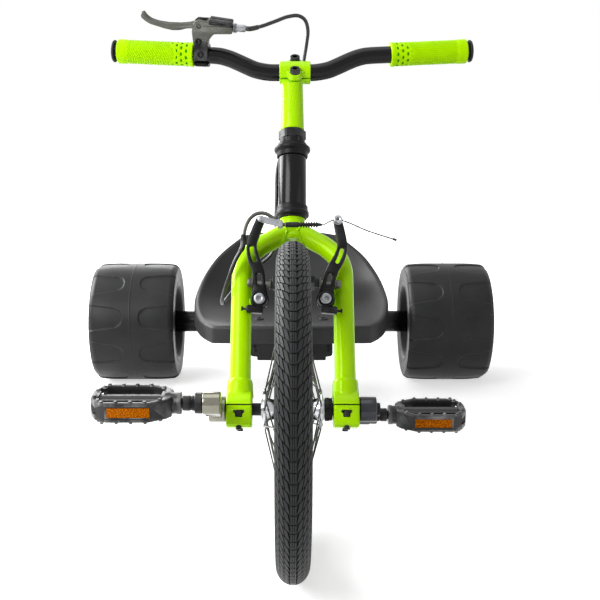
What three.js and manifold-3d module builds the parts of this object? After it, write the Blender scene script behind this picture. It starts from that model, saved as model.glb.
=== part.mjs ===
// A drift trike: a spoked and pedalled front wheel in a unicrown fork, a bucket seat
// slung low between two wide moulded rear wheels, and a hand brake on the front rim.
// Millimetres, +Z up. The front is towards -Y and the rider's left is +X.
// The steered pieces are drawn in a frame of their own: its z runs up the steering axis,
// its -y looks forward, and the front axle lies at (0, -offset, 0).

import * as THREE from 'three';
import { mergeVertices } from 'three/addons/utils/BufferGeometryUtils.js';
import Module from 'manifold-3d';

const wasm = await Module();
wasm.setup();

// Driving dimensions
const gap = 0.3;
const overrun = 4;
const tyreRadius = 200;
const rearRadius = 110.5;
const wheelbase = 680;
const rearWheelWidth = 153;
const rearWheelOuter = 365;
const headLean = 26;
const forkOffset = 48;
const barHeight = 448.5;
const steererRadius = 12.7;
const barRadius = 11.1;
const axleRadius = 7.5;

const overallLength = tyreRadius + wheelbase + rearRadius;
const frontAxleY = tyreRadius - overallLength / 2;
const rearAxleY = frontAxleY + wheelbase;
const lean = THREE.MathUtils.degToRad(headLean);

// Facet counts
const facets = { small: 8, bore: 14, tube: 12, wheel: 48, rear: 32, hub: 16, cable: 8, spoke: 4 };

// Sizes of each piece
const headset = {
  tubeBottom: 264, tubeTop: 330, tubeRadius: 18, tubeBore: 16,
  lowerLipDrop: 16.4, lowerWideDrop: 9.5, lowerWideRadius: 21.5, lowerLipRadius: 18.5,
  upperWideRise: 11, upperLipRise: 18, upperWideRadius: 23.5, upperLipRadius: 19,
  rimRadius: 20, skirt: 8, nutHeight: 18.5, nutRadius: 18.5, nutSides: 6, nutStep: 6, nutCollar: 16.5,
};
headset.lowerLip = headset.tubeBottom - headset.lowerLipDrop;
headset.lowerWide = headset.tubeBottom - headset.lowerWideDrop;
headset.upperWide = headset.tubeTop + headset.upperWideRise;
headset.upperLip = headset.tubeTop + headset.upperLipRise;
headset.nutTop = headset.upperLip + headset.nutHeight;
const fork = {
  legRadius: 12.7, legSpread: 63, legBottom: 12, archStart: 160, archTop: 231, rake: 24,
  steererBottom: 220, steererFlare: 14.2, flareHeight: 7, steererDrop: 0.5,
  seatRadius: 16.4, seatHeight: 10, seatTaper: 5,
  neckRadius: 15.3, neckTop: 34, bendSteps: 26,
};
fork.steererTop = headset.nutTop - fork.steererDrop;
const archShares = [
  [1, 1, 0], [0.984, 0.86, 0.23], [0.913, 0.64, 0.43], [0.794, 0.47, 0.57],
  [0.635, 0.3, 0.7], [0.444, 0.13, 0.81], [0.222, 0.02, 0.93], [0, 0, 1],
];
const legShares = [0, 0.3, 0.6, 0.85];
const axleClamp = {
  width: 30, reach: 60, radius: 22, splitHeight: 4, splitGap: 1.6, bearingRadius: 11.2, bearingWidth: 26,
  boltOffset: 16.6, boltRadius: 2.9, boltTop: 8.6, boltBottom: -25, headRadius: 4.6,
  headTop: -3.4, headBottom: -10, notchWidth: 13, notchTop: -2, notchBottom: -12.2, notchDepth: 10.4,
};
const stem = {
  baseRadius: 15.6, topRadius: 14, clampRadius: 15, clampWidth: 41, lugWidth: 16, lugReach: 22.4,
  lugHeight: 9, splitGap: 2, boltOffset: 15.6, boltRadius: 3.9, headRadius: 6.5, headHeight: 8,
  socketRadius: 3.4, socketDepth: 4, boltDepth: 13, capTilt: 36, clampShift: 3.6,
};
const bar = {
  halfWidth: 236, bendEnd: 106, rise: 24.5, sweepBack: 6, tipRise: 2.4,
  gripStart: 24.5, gripLength: 103, gripRadius: 15.5, collarRadius: 15.9, collarLength: 5,
  ringRadius: 15.9, ringLength: 12, plugRadius: 14.6, plugThickness: 4.4, plugDome: 1.6, bendSteps: 20,
};
const bendShares = [
  [0, 0], [0.1, 0], [0.2, 0], [0.26, 0.002], [0.34, 0.04], [0.46, 0.16], [0.57, 0.37], [0.68, 0.6],
  [0.79, 0.81], [0.9, 0.95], [1, 1],
];
const lever = {
  seat: 11.5, clampWidth: 22, clampRadius: 15.2, pivotX: -2.6, pivotZ: 44.3, pinRadius: 2.2,
  perchThickness: 12.4, slot: 8, slotEnd: 8.4, slotFloor: 32.5, bladeThickness: 7.4, hubRadius: 6,
  earRadius: 7.4,
  adjusterX: 41, adjusterZ: 40.6, adjusterLength: 12, adjusterRadius: 4.6, nutRadius: 6.2, nutLength: 4.4,
  cableClear: 0.3,
  perchWidth: 41, perchHeight: 51.5, bladeReach: 80, bladeHeight: 59.3,
};
const perchShares = [
  [-0.293, 0.233], [0.122, 0.233], [0.171, 0.427], [0.39, 0.65], [1, 0.67], [1, 0.909], [0.22, 1],
  [-0.049, 1], [-0.244, 0.932], [-0.317, 0.699],
];
const bladeShares = [
  [0.075, 0.658], [-0.163, 0.649], [-0.35, 0.649], [-0.487, 0.675], [-0.613, 0.691], [-0.775, 0.728],
  [-0.863, 0.755], [-0.938, 0.815], [-1, 0.885], [-0.975, 0.987], [-0.925, 1], [-0.887, 0.902],
  [-0.812, 0.826], [-0.7, 0.781], [-0.537, 0.752], [-0.338, 0.755], [-0.2, 0.779], [-0.1, 0.818],
  [0.025, 0.843], [0.075, 0.776],
];
const brake = {
  pivotX: 40, pivotZ: 132, bossRadius: 8, bossBack: -26, armBack: -44.6, armThickness: 8, hubRadius: 10.2,
  hubThickness: 12, armLength: 100, armBow: 15.5, boltRadius: 4, headRadius: 6.6, headHeight: 4,
  boltDepth: 12, slotWidth: 5, tilt: 4.6, padRise: 20.5, padLength: 52, padHeight: 9, padThickness: 9,
  padClear: 1.3, padSpare: 2.8, studRadius: 3.2, studBore: 20.4, studEnd: 17, nutRadius: 5.6,
  nutThickness: 5, nutClear: 2.1,
  endRadius: 5.5, holderRadius: 11.4, holderThickness: 5, holderReach: 15, holderDrop: 8,
  holderHeight: 9, screwRadius: 1.5, screwReach: 21, screwHead: 2.8, screwHeadLength: 1.6, gusset: 9,
  steps: 13,
};
const armShares = [
  [-0.02, -0.08, 0.09], [0, 0, 0.102], [0.12, 0.2, 0.075], [0.38, 0.38, 0.075], [0.84, 0.54, 0.072],
  [1, 0.68, 0.062], [0.78, 0.84, 0.06], [0.48, 1, 0.055],
];
const slotShares = [[0.17, 0.34], [0.45, 0.66]];
const noodle = {
  radius: 2.4, bendSteps: 16, tipX: -9, linkHeight: 8, linkThickness: 2, linkEnd: -12, nose: 6,
  backDepth: 9,
};
const boot = {
  plainLength: 22, ribCount: 8, ribPitch: 2.2, ribRadius: 3.6, ribRoot: 2.3, plainRadius: 3.3,
  tipLength: 7, tipRadius: 1.2, wireClear: 0.9, height: 226.5,
};
const wire = {
  radius: 0.8, sides: 6, bendSteps: 22, anchorRadius: 6.2, anchorHeight: 5, pastAnchor: 12.4, dip: 1.6,
  tailX: 127, tailDrop: 26, crimpRadius: 1.5,
  crimpLength: 5,
};
const rim = {
  outer: 158.5, inner: 146, halfWidth: 14, flange: 2.4, bed: 152.6, lip: 1.2, crownShare: 0.35,
};
const tyre = { halfWidth: 19.8, bulge: 178.5, crown: 4.6, shoulder: 13, shoulderDrop: 4.4 };
const hub = {
  radius: 14, flangeX: 33, flangeRadius: 24, flangeThickness: 3.4, holeRadius: 20, spokeRadius: 1.1,
  spokeCount: 28, crossAngle: 62, rimX: 4, halfLength: 37.5, lacing: 1.7, spokeClear: 0.6,
};
const sleeve = { radius: 14, length: 5.4, ringRadius: 13.3, ringLength: 3.6 };
const valve = { radius: 2.6, collarRadius: 3.2, length: 22 };
const crank = {
  length: 88, inner: 79, thickness: 20, bossRadius: 15, endRadius: 12.5, waistRadius: 8.5,
  waistThickness: 13,
  squareHalf: 5.6, bossFlare: 2.4, eyeFlare: 0.6, boltRadius: 8, boltHeight: 4, boltBevel: 1.2,
  boltDome: 0.6,
};
const spindle = {
  collarRadius: 11.6, collarLength: 8, radius: 8.4, neckLength: 13, shaftRadius: 5.5, endX: 209,
};
const pedal = {
  inner: 131.5, width: 88, depth: 62, height: 22, chamfer: 15, taper: 24, neckRadius: 12.3,
  neckLength: 9.5, barrelRadius: 9.5,
  wall: 7.5, innerWall: 11.25, reflectorWidth: 46, reflectorHeight: 11, reflectorDepth: 5,
  reflectorSink: 0.9, reflectorX: 176,
  boreSpare: 0.6,
};
const rearWheel = {
  recess: 66.5, recessFloor: 61, recessDepth: 58, hubRadius: 23, hubStart: 24,
  edge: 12, edgeRadiusDrop: 9, barrelDrop: 1.6,
};
const rearAxle = { radius: 8, nutRadius: 12, nutHeight: 9, washerGap: 0.3, endSpare: 4 };
const frame = {
  tubeRadius: 15.9, bendSteps: 16, crossRadius: 20, shelfDepth: 40, railX: 57, railWidth: 20,
  railBottom: 126,
  plateHalfWidth: 68, plateTop: 144, plateBottom: 116, plateThickness: 6, plateY: 440, lowHeight: 112,
  dropY: 399, dropHeight: 165, kneeY: 345, kneeHeight: 278, shoulderY: 250, shoulderHeight: 400,
};
const seat = {
  frontY: 432, length: 348, wall: 5, skirt: 28, panHeight: 159, backHeight: 267,
  halfWidth: 173, boltY: 517, boltX: 55, boltHead: 8, boltHeadHeight: 3.4, boltRadius: 3.5,
  boltLength: 22,
  boltSpare: 0.6, pocketClear: 0.6, searchSteps: 60, rows: 9, columns: 11, power: 3.2, flatShare: 0.5,
  lipShare: 0.022, skirtShare: 0.034,
};
frame.railTop = seat.panHeight - seat.wall - gap;
// Centre line of the seat: share of its length, share of the rise from pan to back top
const seatCentreShares = [
  [0, 0.13], [0.06, 0.115], [0.2, 0.03], [0.45, 0], [0.66, 0.02], [0.82, 0.12], [0.92, 0.36],
  [0.975, 0.7], [1, 1],
];
// Rim of the seat: share of its half width, of its length and of the same rise
const seatRimShares = [
  [0.77, 0.03, 0.07], [0.86, 0.1, 0.09], [0.94, 0.22, 0.12], [1, 0.42, 0.17], [0.995, 0.58, 0.24],
  [0.93, 0.76, 0.42], [0.8, 0.88, 0.66], [0.64, 0.95, 0.83], [0.5, 0.985, 0.94],
];

// Colours and finishes
function paint(color, roughness, metalness) {
  return new THREE.MeshStandardMaterial({ color, roughness, metalness });
}

const finishes = {
  green: () => paint('#9be60a', 0.25, 0.1),
  gripGreen: () => paint('#a6ee14', 0.6, 0),
  blackPaint: () => paint('#101012', 0.3, 0.2),
  blackSteel: () => paint('#18181a', 0.4, 0.6),
  plastic: () => paint('#232325', 0.6, 0),
  rubber: () => paint('#1b1b1c', 0.85, 0),
  chrome: () => paint('#d8d8da', 0.12, 1),
  alloy: () => paint('#a9abae', 0.35, 0.9),
  darkAlloy: () => paint('#4a4c4b', 0.4, 0.7),
  amber: () => paint('#d8690a', 0.2, 0),
};

// Solids: three.js shapes in and out of manifold-3d
function solidOf(geometry) {
  const bare = geometry.clone();
  bare.deleteAttribute('normal');
  bare.deleteAttribute('uv');
  const merged = mergeVertices(bare);
  const corners = merged.index.array;
  const places = merged.attributes.position.array;
  const kept = [];
  let volume = 0;
  const [a, b, c] = [new THREE.Vector3(), new THREE.Vector3(), new THREE.Vector3()];
  for (let i = 0; i < corners.length; i += 3) {
    const [p, q, r] = [corners[i], corners[i + 1], corners[i + 2]];
    if (p === q || q === r || r === p) continue;
    kept.push(p, q, r);
    a.fromArray(places, p * 3);
    b.fromArray(places, q * 3);
    c.fromArray(places, r * 3);
    volume += a.dot(b.cross(c));
  }
  if (volume < 0) kept.reverse();
  const vertProperties = Float32Array.from(places);
  const triVerts = Uint32Array.from(kept);
  return new wasm.Manifold(new wasm.Mesh({ numProp: 3, vertProperties, triVerts }));
}

function geometryOf(solid) {
  const mesh = solid.getMesh();
  const geometry = new THREE.BufferGeometry();
  geometry.setAttribute('position', new THREE.BufferAttribute(Float32Array.from(mesh.vertProperties), 3));
  geometry.setIndex(Array.from(mesh.triVerts));
  return geometry;
}

const join = (...pieces) => pieces.reduce((whole, piece) => whole.add(piece));
const cut = (base, ...tools) => tools.reduce((whole, tool) => whole.subtract(tool), base);
const clearBore = (radius, sides = facets.bore) => (radius + gap) / Math.cos(Math.PI / sides);

function rodBetween(from, to, radius, sides = facets.small, endRadius = radius) {
  const start = new THREE.Vector3(...from);
  const along = new THREE.Vector3(...to).sub(start);
  const geometry = new THREE.CylinderGeometry(endRadius, radius, along.length(), sides);
  const turn = new THREE.Quaternion().setFromUnitVectors(new THREE.Vector3(0, 1, 0),
    along.clone().normalize());
  geometry.applyQuaternion(turn);
  const middle = start.addScaledVector(along, 1 / 2);
  geometry.translate(middle.x, middle.y, middle.z);
  return solidOf(geometry);
}

function rodX(x0, x1, radius, y = 0, z = 0, sides = facets.small) {
  return rodBetween([x0, y, z], [x1, y, z], radius, sides);
}

function rodY(y0, y1, radius, x = 0, z = 0, sides = facets.small) {
  return rodBetween([x, y0, z], [x, y1, z], radius, sides);
}

function rodZ(z0, z1, radius, x = 0, y = 0, sides = facets.small) {
  return rodBetween([x, y, z0], [x, y, z1], radius, sides);
}

function block(x0, x1, y0, y1, z0, z1) {
  const geometry = new THREE.BoxGeometry(Math.abs(x1 - x0), Math.abs(y1 - y0), Math.abs(z1 - z0));
  geometry.translate((x0 + x1) / 2, (y0 + y1) / 2, (z0 + z1) / 2);
  return solidOf(geometry);
}

// A profile of [radius, height] points turned about z
function turned(profile, sides) {
  const geometry = new THREE.LatheGeometry(profile.map(([r, h]) => new THREE.Vector2(r, h)), sides);
  geometry.rotateX(Math.PI / 2);
  return geometry;
}

// The same, turned about x, with the profile's heights running along +x
function turnedX(profile, sides) {
  const geometry = turned(profile, sides);
  geometry.rotateY(Math.PI / 2);
  return geometry;
}

// A wheel about x whose flats, not its corners, lie at the profile's radii and on the floor
function wheelX(profile, sides) {
  const share = 1 / Math.cos(Math.PI / sides);
  return turnedX(profile.map(([r, x]) => [r * share, x]), sides).rotateX(Math.PI / sides);
}

function circle(radius, sides) {
  const outline = new THREE.Shape();
  for (let i = 0; i < sides; i += 1) {
    const angle = (2 * Math.PI * i) / sides;
    const corner = [radius * Math.cos(angle), radius * Math.sin(angle)];
    if (i === 0) outline.moveTo(...corner);
    else outline.lineTo(...corner);
  }
  outline.closePath();
  return outline;
}

function sweep(points, radius, sides, steps) {
  const path = new THREE.CatmullRomCurve3(points.map((point) => new THREE.Vector3(...point)));
  const settings = { steps, extrudePath: path, bevelEnabled: false };
  return new THREE.ExtrudeGeometry(circle(radius, sides), settings);
}

function flatShape(outline, holes) {
  const cornersOf = (points) => points.map(([x, y]) => new THREE.Vector2(x, y));
  const shape = new THREE.Shape(cornersOf(outline));
  for (const hole of holes) shape.holes.push(new THREE.Path(cornersOf(hole)));
  return shape;
}

// An outline of [x, z] points with holes, given a thickness from y0 to y1
function plateXZ(outline, holes, y0, y1) {
  const shape = flatShape(outline, holes);
  const geometry = new THREE.ExtrudeGeometry(shape, { depth: y1 - y0, bevelEnabled: false });
  geometry.rotateX(Math.PI / 2);
  geometry.translate(0, y1, 0);
  return solidOf(geometry);
}

// An outline of [x, y] points with holes, given a thickness from z0 to z1
function plateXY(outline, holes, z0, z1) {
  const shape = flatShape(outline, holes);
  const geometry = new THREE.ExtrudeGeometry(shape, { depth: z1 - z0, bevelEnabled: false });
  geometry.translate(0, 0, z0);
  return solidOf(geometry);
}

function smooth(points, count) {
  const curve = new THREE.CatmullRomCurve3(points.map(([x, y, z = 0]) => new THREE.Vector3(x, y, z)));
  return curve.getPoints(count).map((point) => [point.x, point.y, point.z]);
}

// Scene graph: groups for the steered pieces and what turns in them
const trike = new THREE.Group();
const steering = new THREE.Group();
steering.position.y = frontAxleY + forkOffset * Math.cos(lean);
steering.position.z = tyreRadius - forkOffset * Math.sin(lean);
steering.rotation.x = -lean;
trike.add(steering);

const axleGroup = new THREE.Group();
axleGroup.position.y = -forkOffset;
steering.add(axleGroup);

const barGroup = new THREE.Group();
barGroup.position.z = barHeight;
steering.add(barGroup);

const capTurn = Math.PI / 2 - THREE.MathUtils.degToRad(stem.capTilt);
const clampGroup = new THREE.Group();
clampGroup.rotation.x = capTurn;
clampGroup.position.x = stem.clampShift;
barGroup.add(clampGroup);

function put(parent, name, shape, finish) {
  const geometry = geometryOf(shape.isBufferGeometry ? solidOf(shape) : shape);
  const mesh = new THREE.Mesh(geometry, finish());
  mesh.name = name;
  parent.add(mesh);
  return mesh;
}

const bothSides = [['left', 1], ['right', -1]];
const frontAndRear = [['front', -1], ['rear', 1]];

// Headset
function lowerCup() {
  const bore = clearBore(steererRadius);
  const skirtRadius = headset.tubeBore - gap;
  return turned([
    [bore, headset.lowerLip], [headset.lowerLipRadius, headset.lowerLip],
    [headset.lowerWideRadius, headset.lowerWide], [headset.rimRadius, headset.tubeBottom - gap],
    [skirtRadius, headset.tubeBottom - gap], [skirtRadius, headset.tubeBottom + headset.skirt],
    [bore, headset.tubeBottom + headset.skirt], [bore, headset.lowerLip],
  ], facets.bore);
}

function upperCup() {
  const bore = clearBore(steererRadius);
  const skirtRadius = headset.tubeBore - gap;
  return turned([
    [bore, headset.tubeTop - headset.skirt], [skirtRadius, headset.tubeTop - headset.skirt],
    [skirtRadius, headset.tubeTop + gap], [headset.rimRadius, headset.tubeTop + gap],
    [headset.upperWideRadius, headset.upperWide], [headset.upperLipRadius, headset.upperLip],
    [bore, headset.upperLip], [bore, headset.tubeTop - headset.skirt],
  ], facets.bore);
}

function lockNut() {
  const bottom = headset.upperLip + gap;
  const hex = rodZ(bottom + headset.nutStep, headset.nutTop, headset.nutRadius, 0, 0, headset.nutSides);
  const collar = rodZ(bottom, bottom + headset.nutStep + gap, headset.nutCollar, 0, 0, facets.bore);
  return cut(join(hex, collar),
    rodZ(bottom - overrun, headset.nutTop + overrun, clearBore(steererRadius), 0, 0, facets.bore));
}

// Fork: two legs and an arch in one bend, the steerer and the upper halves of the axle clamps
const legY = (z) => -forkOffset + ((forkOffset - fork.rake) * z) / fork.archStart;

function bladePoints() {
  const half = archShares.map(([across, back, up]) => [
    fork.legSpread * across, -fork.rake * back, fork.archStart + (fork.archTop - fork.archStart) * up,
  ]);
  const leg = legShares.map((up) => {
    const z = fork.legBottom + (fork.archStart - fork.legBottom) * up;
    return [fork.legSpread, legY(z), z];
  });
  const side = [...leg, ...half];
  const other = side.slice(0, -1).map(([x, y, z]) => [-x, y, z]);
  return [...side, ...other.reverse()];
}

function clampBlock(side) {
  const centre = side * fork.legSpread;
  const half = axleClamp.width / 2;
  const barrel = rodX(centre - half, centre + half, axleClamp.radius, -forkOffset, 0, facets.hub);
  const bore = rodX(centre - axleClamp.width, centre + axleClamp.width,
    clearBore(axleClamp.bearingRadius), -forkOffset, 0, facets.bore);
  const shafts = frontAndRear.map(([, way]) => rodZ(
    axleClamp.boltBottom - overrun, axleClamp.boltTop + gap, axleClamp.boltRadius + gap,
    centre, -forkOffset + way * axleClamp.boltOffset));
  return cut(barrel, bore, ...shafts);
}

function halfSpace(side, above) {
  const reach = axleClamp.reach;
  const half = axleClamp.splitGap / 2;
  const near = above ? axleClamp.splitHeight + half : axleClamp.splitHeight - half;
  const far = above ? near + reach : near - reach;
  const centre = side * fork.legSpread;
  return block(centre - reach, centre + reach, -forkOffset - reach, -forkOffset + reach,
    Math.min(near, far), Math.max(near, far));
}

function forkLeg(side) {
  const x = side * fork.legSpread;
  const neck = rodBetween([x, legY(fork.legBottom), fork.legBottom],
    [x, legY(fork.neckTop), fork.neckTop], fork.neckRadius, facets.tube);
  return join(neck, clampBlock(side).intersect(halfSpace(side, true)));
}

function brakeBoss(side) {
  const x = side * brake.pivotX;
  const front = brake.armBack + gap;
  const boss = rodY(front, brake.bossBack, brake.bossRadius, x, brake.pivotZ, facets.tube);
  const gusset = block(x, side * (fork.legSpread - fork.legRadius / 2), legY(brake.pivotZ) - brake.gusset,
    legY(brake.pivotZ),
    brake.pivotZ - brake.bossRadius / 2, brake.pivotZ + brake.bossRadius / 2);
  return cut(join(boss, gusset),
    rodY(front - overrun, front + brake.boltDepth, brake.boltRadius + gap, x, brake.pivotZ,
    facets.small));
}

function forkBody() {
  const blades = solidOf(sweep(bladePoints(), fork.legRadius, facets.tube, fork.bendSteps));
  const flareTop = fork.steererBottom + fork.flareHeight;
  const seatTop = headset.lowerLip - gap;
  const seatBottom = seatTop - fork.seatHeight;
  const steerer = solidOf(turned([
    [0, fork.steererBottom], [fork.steererFlare, fork.steererBottom], [steererRadius, flareTop],
    [steererRadius, seatBottom - fork.seatTaper], [fork.seatRadius, seatBottom],
    [fork.seatRadius, seatTop],
    [steererRadius, seatTop], [steererRadius, fork.steererTop], [0, fork.steererTop],
  ], facets.bore));
  const ends = bothSides.flatMap(([, side]) => [forkLeg(side), brakeBoss(side)]);
  const reach = fork.legSpread + axleClamp.width;
  const bore = rodX(-reach, reach, clearBore(axleClamp.bearingRadius), -forkOffset, 0, facets.bore);
  return cut(join(blades, steerer, ...ends), bore);
}

function axleCap(side) {
  const x = side * fork.legSpread;
  const cap = clampBlock(side).intersect(halfSpace(side, false));
  const half = axleClamp.notchWidth / 2;
  const notches = frontAndRear.map(([, way]) => block(
    x - half, x + half,
    -forkOffset + way * (axleClamp.radius - axleClamp.notchDepth),
    -forkOffset + way * (axleClamp.radius + overrun),
    axleClamp.notchBottom, axleClamp.notchTop));
  return cut(cap, ...notches);
}

function capBolt(side, way) {
  const x = side * fork.legSpread;
  const y = -forkOffset + way * axleClamp.boltOffset;
  return join(
    rodZ(axleClamp.boltBottom, axleClamp.boltTop, axleClamp.boltRadius, x, y),
    rodZ(axleClamp.headBottom, axleClamp.headTop, axleClamp.headRadius, x, y, headset.nutSides));
}

function forkBearing(side) {
  const x = side * fork.legSpread;
  const half = axleClamp.bearingWidth / 2;
  return turnedX([
    [clearBore(axleRadius), x - half], [axleClamp.bearingRadius, x - half],
    [axleClamp.bearingRadius, x + half], [clearBore(axleRadius), x + half],
    [clearBore(axleRadius), x - half],
  ], facets.bore).translate(0, -forkOffset, 0);
}

// Stem: a tapered post under a split clamp whose cap faces up and forward
function clampShape() {
  const half = stem.clampWidth / 2;
  const lug = stem.lugWidth / 2;
  const barrel = rodX(-half, half, stem.clampRadius, 0, 0, facets.hub);
  const lugs = block(-lug, lug, -stem.lugReach, stem.lugReach, -stem.lugHeight, stem.lugHeight);
  const bore = rodX(-half - overrun, half + overrun, clearBore(barRadius, facets.tube), 0, 0,
    facets.tube);
  const shafts = [-1, 1].map((way) => rodZ(
    -stem.boltDepth - gap, stem.lugHeight + overrun, stem.boltRadius + gap, 0, way * stem.boltOffset));
  return { body: join(barrel, lugs), tools: [bore, ...shafts], half };
}

function stemCap() {
  const { body, tools, half } = clampShape();
  const reach = stem.lugReach + overrun;
  const pockets = [-1, 1].map((way) => rodZ(
    stem.lugHeight, stem.lugHeight + stem.clampRadius, stem.headRadius + gap, 0, way * stem.boltOffset,
    facets.tube));
  return cut(body.intersect(block(-half, half, -reach, reach, stem.splitGap / 2, reach)), ...tools,
    ...pockets);
}

function stemBody() {
  const { body, tools, half } = clampShape();
  const reach = stem.lugReach + overrun;
  const turn = (solid) => solidOf(geometryOf(solid).rotateX(capTurn).translate(stem.clampShift, 0, 0));
  const lower = turn(body.intersect(block(-half, half, -reach, reach, -reach, -stem.splitGap / 2)));
  const clear = turn(block(-half - overrun, half + overrun, -reach, reach, -stem.splitGap / 2, reach));
  const post = rodBetween([0, 0, headset.nutTop + gap - barHeight], [0, 0, -barRadius / 2],
    stem.baseRadius, facets.bore, stem.topRadius);
  return cut(join(lower, cut(post, clear)), ...tools.map(turn));
}

function stemBolt(way) {
  const y = way * stem.boltOffset;
  const seatHeight = stem.lugHeight + gap;
  const top = seatHeight + stem.headHeight;
  const bolt = join(
    rodZ(-stem.boltDepth, seatHeight + gap, stem.boltRadius, 0, y),
    rodZ(seatHeight, top, stem.headRadius, 0, y, facets.tube));
  return cut(bolt,
    rodZ(top - stem.socketDepth, top + overrun, stem.socketRadius, 0, y, headset.nutSides));
}

// Handlebar: a low rise in one double bend each side, then straight ends swept back
const sweepTurn = THREE.MathUtils.degToRad(bar.sweepBack);
const riseTurn = THREE.MathUtils.degToRad(bar.tipRise);
const endTurn = (side) => new THREE.Euler(lean, -side * riseTurn, side * sweepTurn);
const endDirection = (side) => new THREE.Vector3(side, 0, 0).applyEuler(endTurn(side));
const endLength = (bar.halfWidth - bar.bendEnd) / endDirection(1).x;

function handlebar() {
  const bend = bendShares.map(([across, up]) => [bar.bendEnd * across, 0, bar.rise * up]);
  const middle = [...bend.slice(1).reverse().map(([x, y, z]) => [-x, y, z]), ...bend];
  const pieces = [solidOf(sweep(middle, barRadius, facets.tube, bar.bendSteps))];
  for (const [, side] of bothSides) {
    const direction = endDirection(side);
    const start = new THREE.Vector3(side * bar.bendEnd, 0, bar.rise);
    const end = start.clone().addScaledVector(direction, endLength);
    pieces.push(rodBetween(start.addScaledVector(direction, -gap).toArray(), end.toArray(), barRadius,
      facets.tube));
  }
  return join(...pieces);
}

function barEnd(side) {
  const group = new THREE.Group();
  group.position.set(side * bar.bendEnd, 0, bar.rise);
  group.rotation.copy(endTurn(side));
  barGroup.add(group);
  return group;
}

// Grip: hollow sleeve with a collar inside and a ring at the outer end, drawn towards +x
function grip() {
  const bore = barRadius + gap;
  const [start, end] = [bar.gripStart, bar.gripStart + bar.gripLength];
  return turnedX([
    [bore, start], [bar.collarRadius, start], [bar.collarRadius, start + bar.collarLength],
    [bar.gripRadius, start + bar.collarLength], [bar.gripRadius, end - bar.ringLength],
    [bar.ringRadius, end - bar.ringLength], [bar.ringRadius, end], [bore, end], [bore, start],
  ], facets.hub);
}

function barPlug() {
  const start = Math.max(bar.gripStart + bar.gripLength, endLength) + gap;
  const end = start + bar.plugThickness;
  return turnedX([
    [0, start], [bar.plugRadius, start], [bar.plugRadius, end - bar.plugDome],
    [bar.plugRadius - bar.plugDome, end], [0, end],
  ], facets.tube);
}

// Brake lever: a perch clamped on the bar, a blade on its pin and a cable adjuster.
// Their group sits on the right bar end with z pointing away from the bar.
function perch() {
  const half = lever.clampWidth / 2;
  const ring = rodX(-half, half, lever.clampRadius, 0, 0, facets.tube);
  const outline = perchShares.map(([x, z]) => [lever.perchWidth * x, lever.perchHeight * z]);
  const side = lever.perchThickness / 2;
  const body = plateXZ(outline, [], -side, side);
  const ear = rodY(-side, side, lever.earRadius, lever.pivotX, lever.pivotZ, facets.tube);
  const slot = block(-lever.perchWidth, lever.slotEnd, -lever.slot / 2, lever.slot / 2,
    lever.slotFloor, lever.perchHeight + overrun);
  const bore = rodX(-half - overrun, half + overrun, clearBore(barRadius, facets.tube), 0, 0,
    facets.tube);
  const pin = rodY(-side, side, lever.pinRadius, lever.pivotX, lever.pivotZ, facets.bore);
  return join(cut(join(ring, body, ear), slot, bore), pin);
}

function leverBlade() {
  const outline = bladeShares.map(([x, z]) => [lever.bladeReach * x, lever.bladeHeight * z]);
  const half = lever.bladeThickness / 2;
  const blade = plateXZ(outline, [], -half, half);
  const hubSolid = rodY(-half, half, lever.hubRadius, lever.pivotX, lever.pivotZ, facets.tube);
  const bore = rodY(-lever.slot, lever.slot, clearBore(lever.pinRadius), lever.pivotX, lever.pivotZ,
    facets.bore);
  return cut(join(blade, hubSolid), bore);
}

function adjuster() {
  const start = lever.adjusterX + gap;
  return join(
    rodX(start, start + lever.nutLength, lever.nutRadius, 0, lever.adjusterZ, facets.tube),
    rodX(start + lever.nutLength - gap, start + lever.nutLength + lever.adjusterLength,
    lever.adjusterRadius, 0, lever.adjusterZ, facets.tube));
}

// Brake arms: bowed plates with two slots, a hub on the pivot and a spring holder below it.
// Drawn for the left side about the pivot, x outward; the right one is mirrored.
function mirrored(solid, side) {
  if (side > 0) return solid;
  const geometry = geometryOf(solid);
  geometry.scale(-1, 1, 1);
  return solidOf(geometry);
}

const armPoint = ([out, up]) => [brake.armBow * out, brake.armLength * up];

function armRibbon() {
  const centre = smooth(armShares.map(([out, up]) => [...armPoint([out, up]), 0]), brake.steps);
  const halfWidths = armShares.map(([, up, wide]) => [brake.armLength * up, brake.armLength * wide, 0]);
  const widths = smooth(halfWidths, brake.steps);
  const sideOf = (way) => centre.map(([x, z], i) => {
    const [x0, z0] = centre[Math.max(i - 1, 0)];
    const [x1, z1] = centre[Math.min(i + 1, centre.length - 1)];
    const length = Math.hypot(x1 - x0, z1 - z0);
    const wide = widths[i][1];
    return [x + (way * wide * (z1 - z0)) / length, z - (way * wide * (x1 - x0)) / length];
  });
  return { centre, outline: [...sideOf(1), ...sideOf(-1).reverse()] };
}

function armSlot(centre, [from, to]) {
  const inside = centre.filter(([, z]) => z > brake.armLength * from && z < brake.armLength * to);
  const half = brake.slotWidth / 2;
  return [...inside.map(([x, z]) => [x + half, z]), ...inside.map(([x, z]) => [x - half, z]).reverse()];
}

const armFront = brake.armBack - brake.armThickness;
const hubFront = brake.armBack - brake.hubThickness;
const padX = (side) => rim.halfWidth + brake.padClear + (side > 0 ? brake.padSpare : 0);

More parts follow.
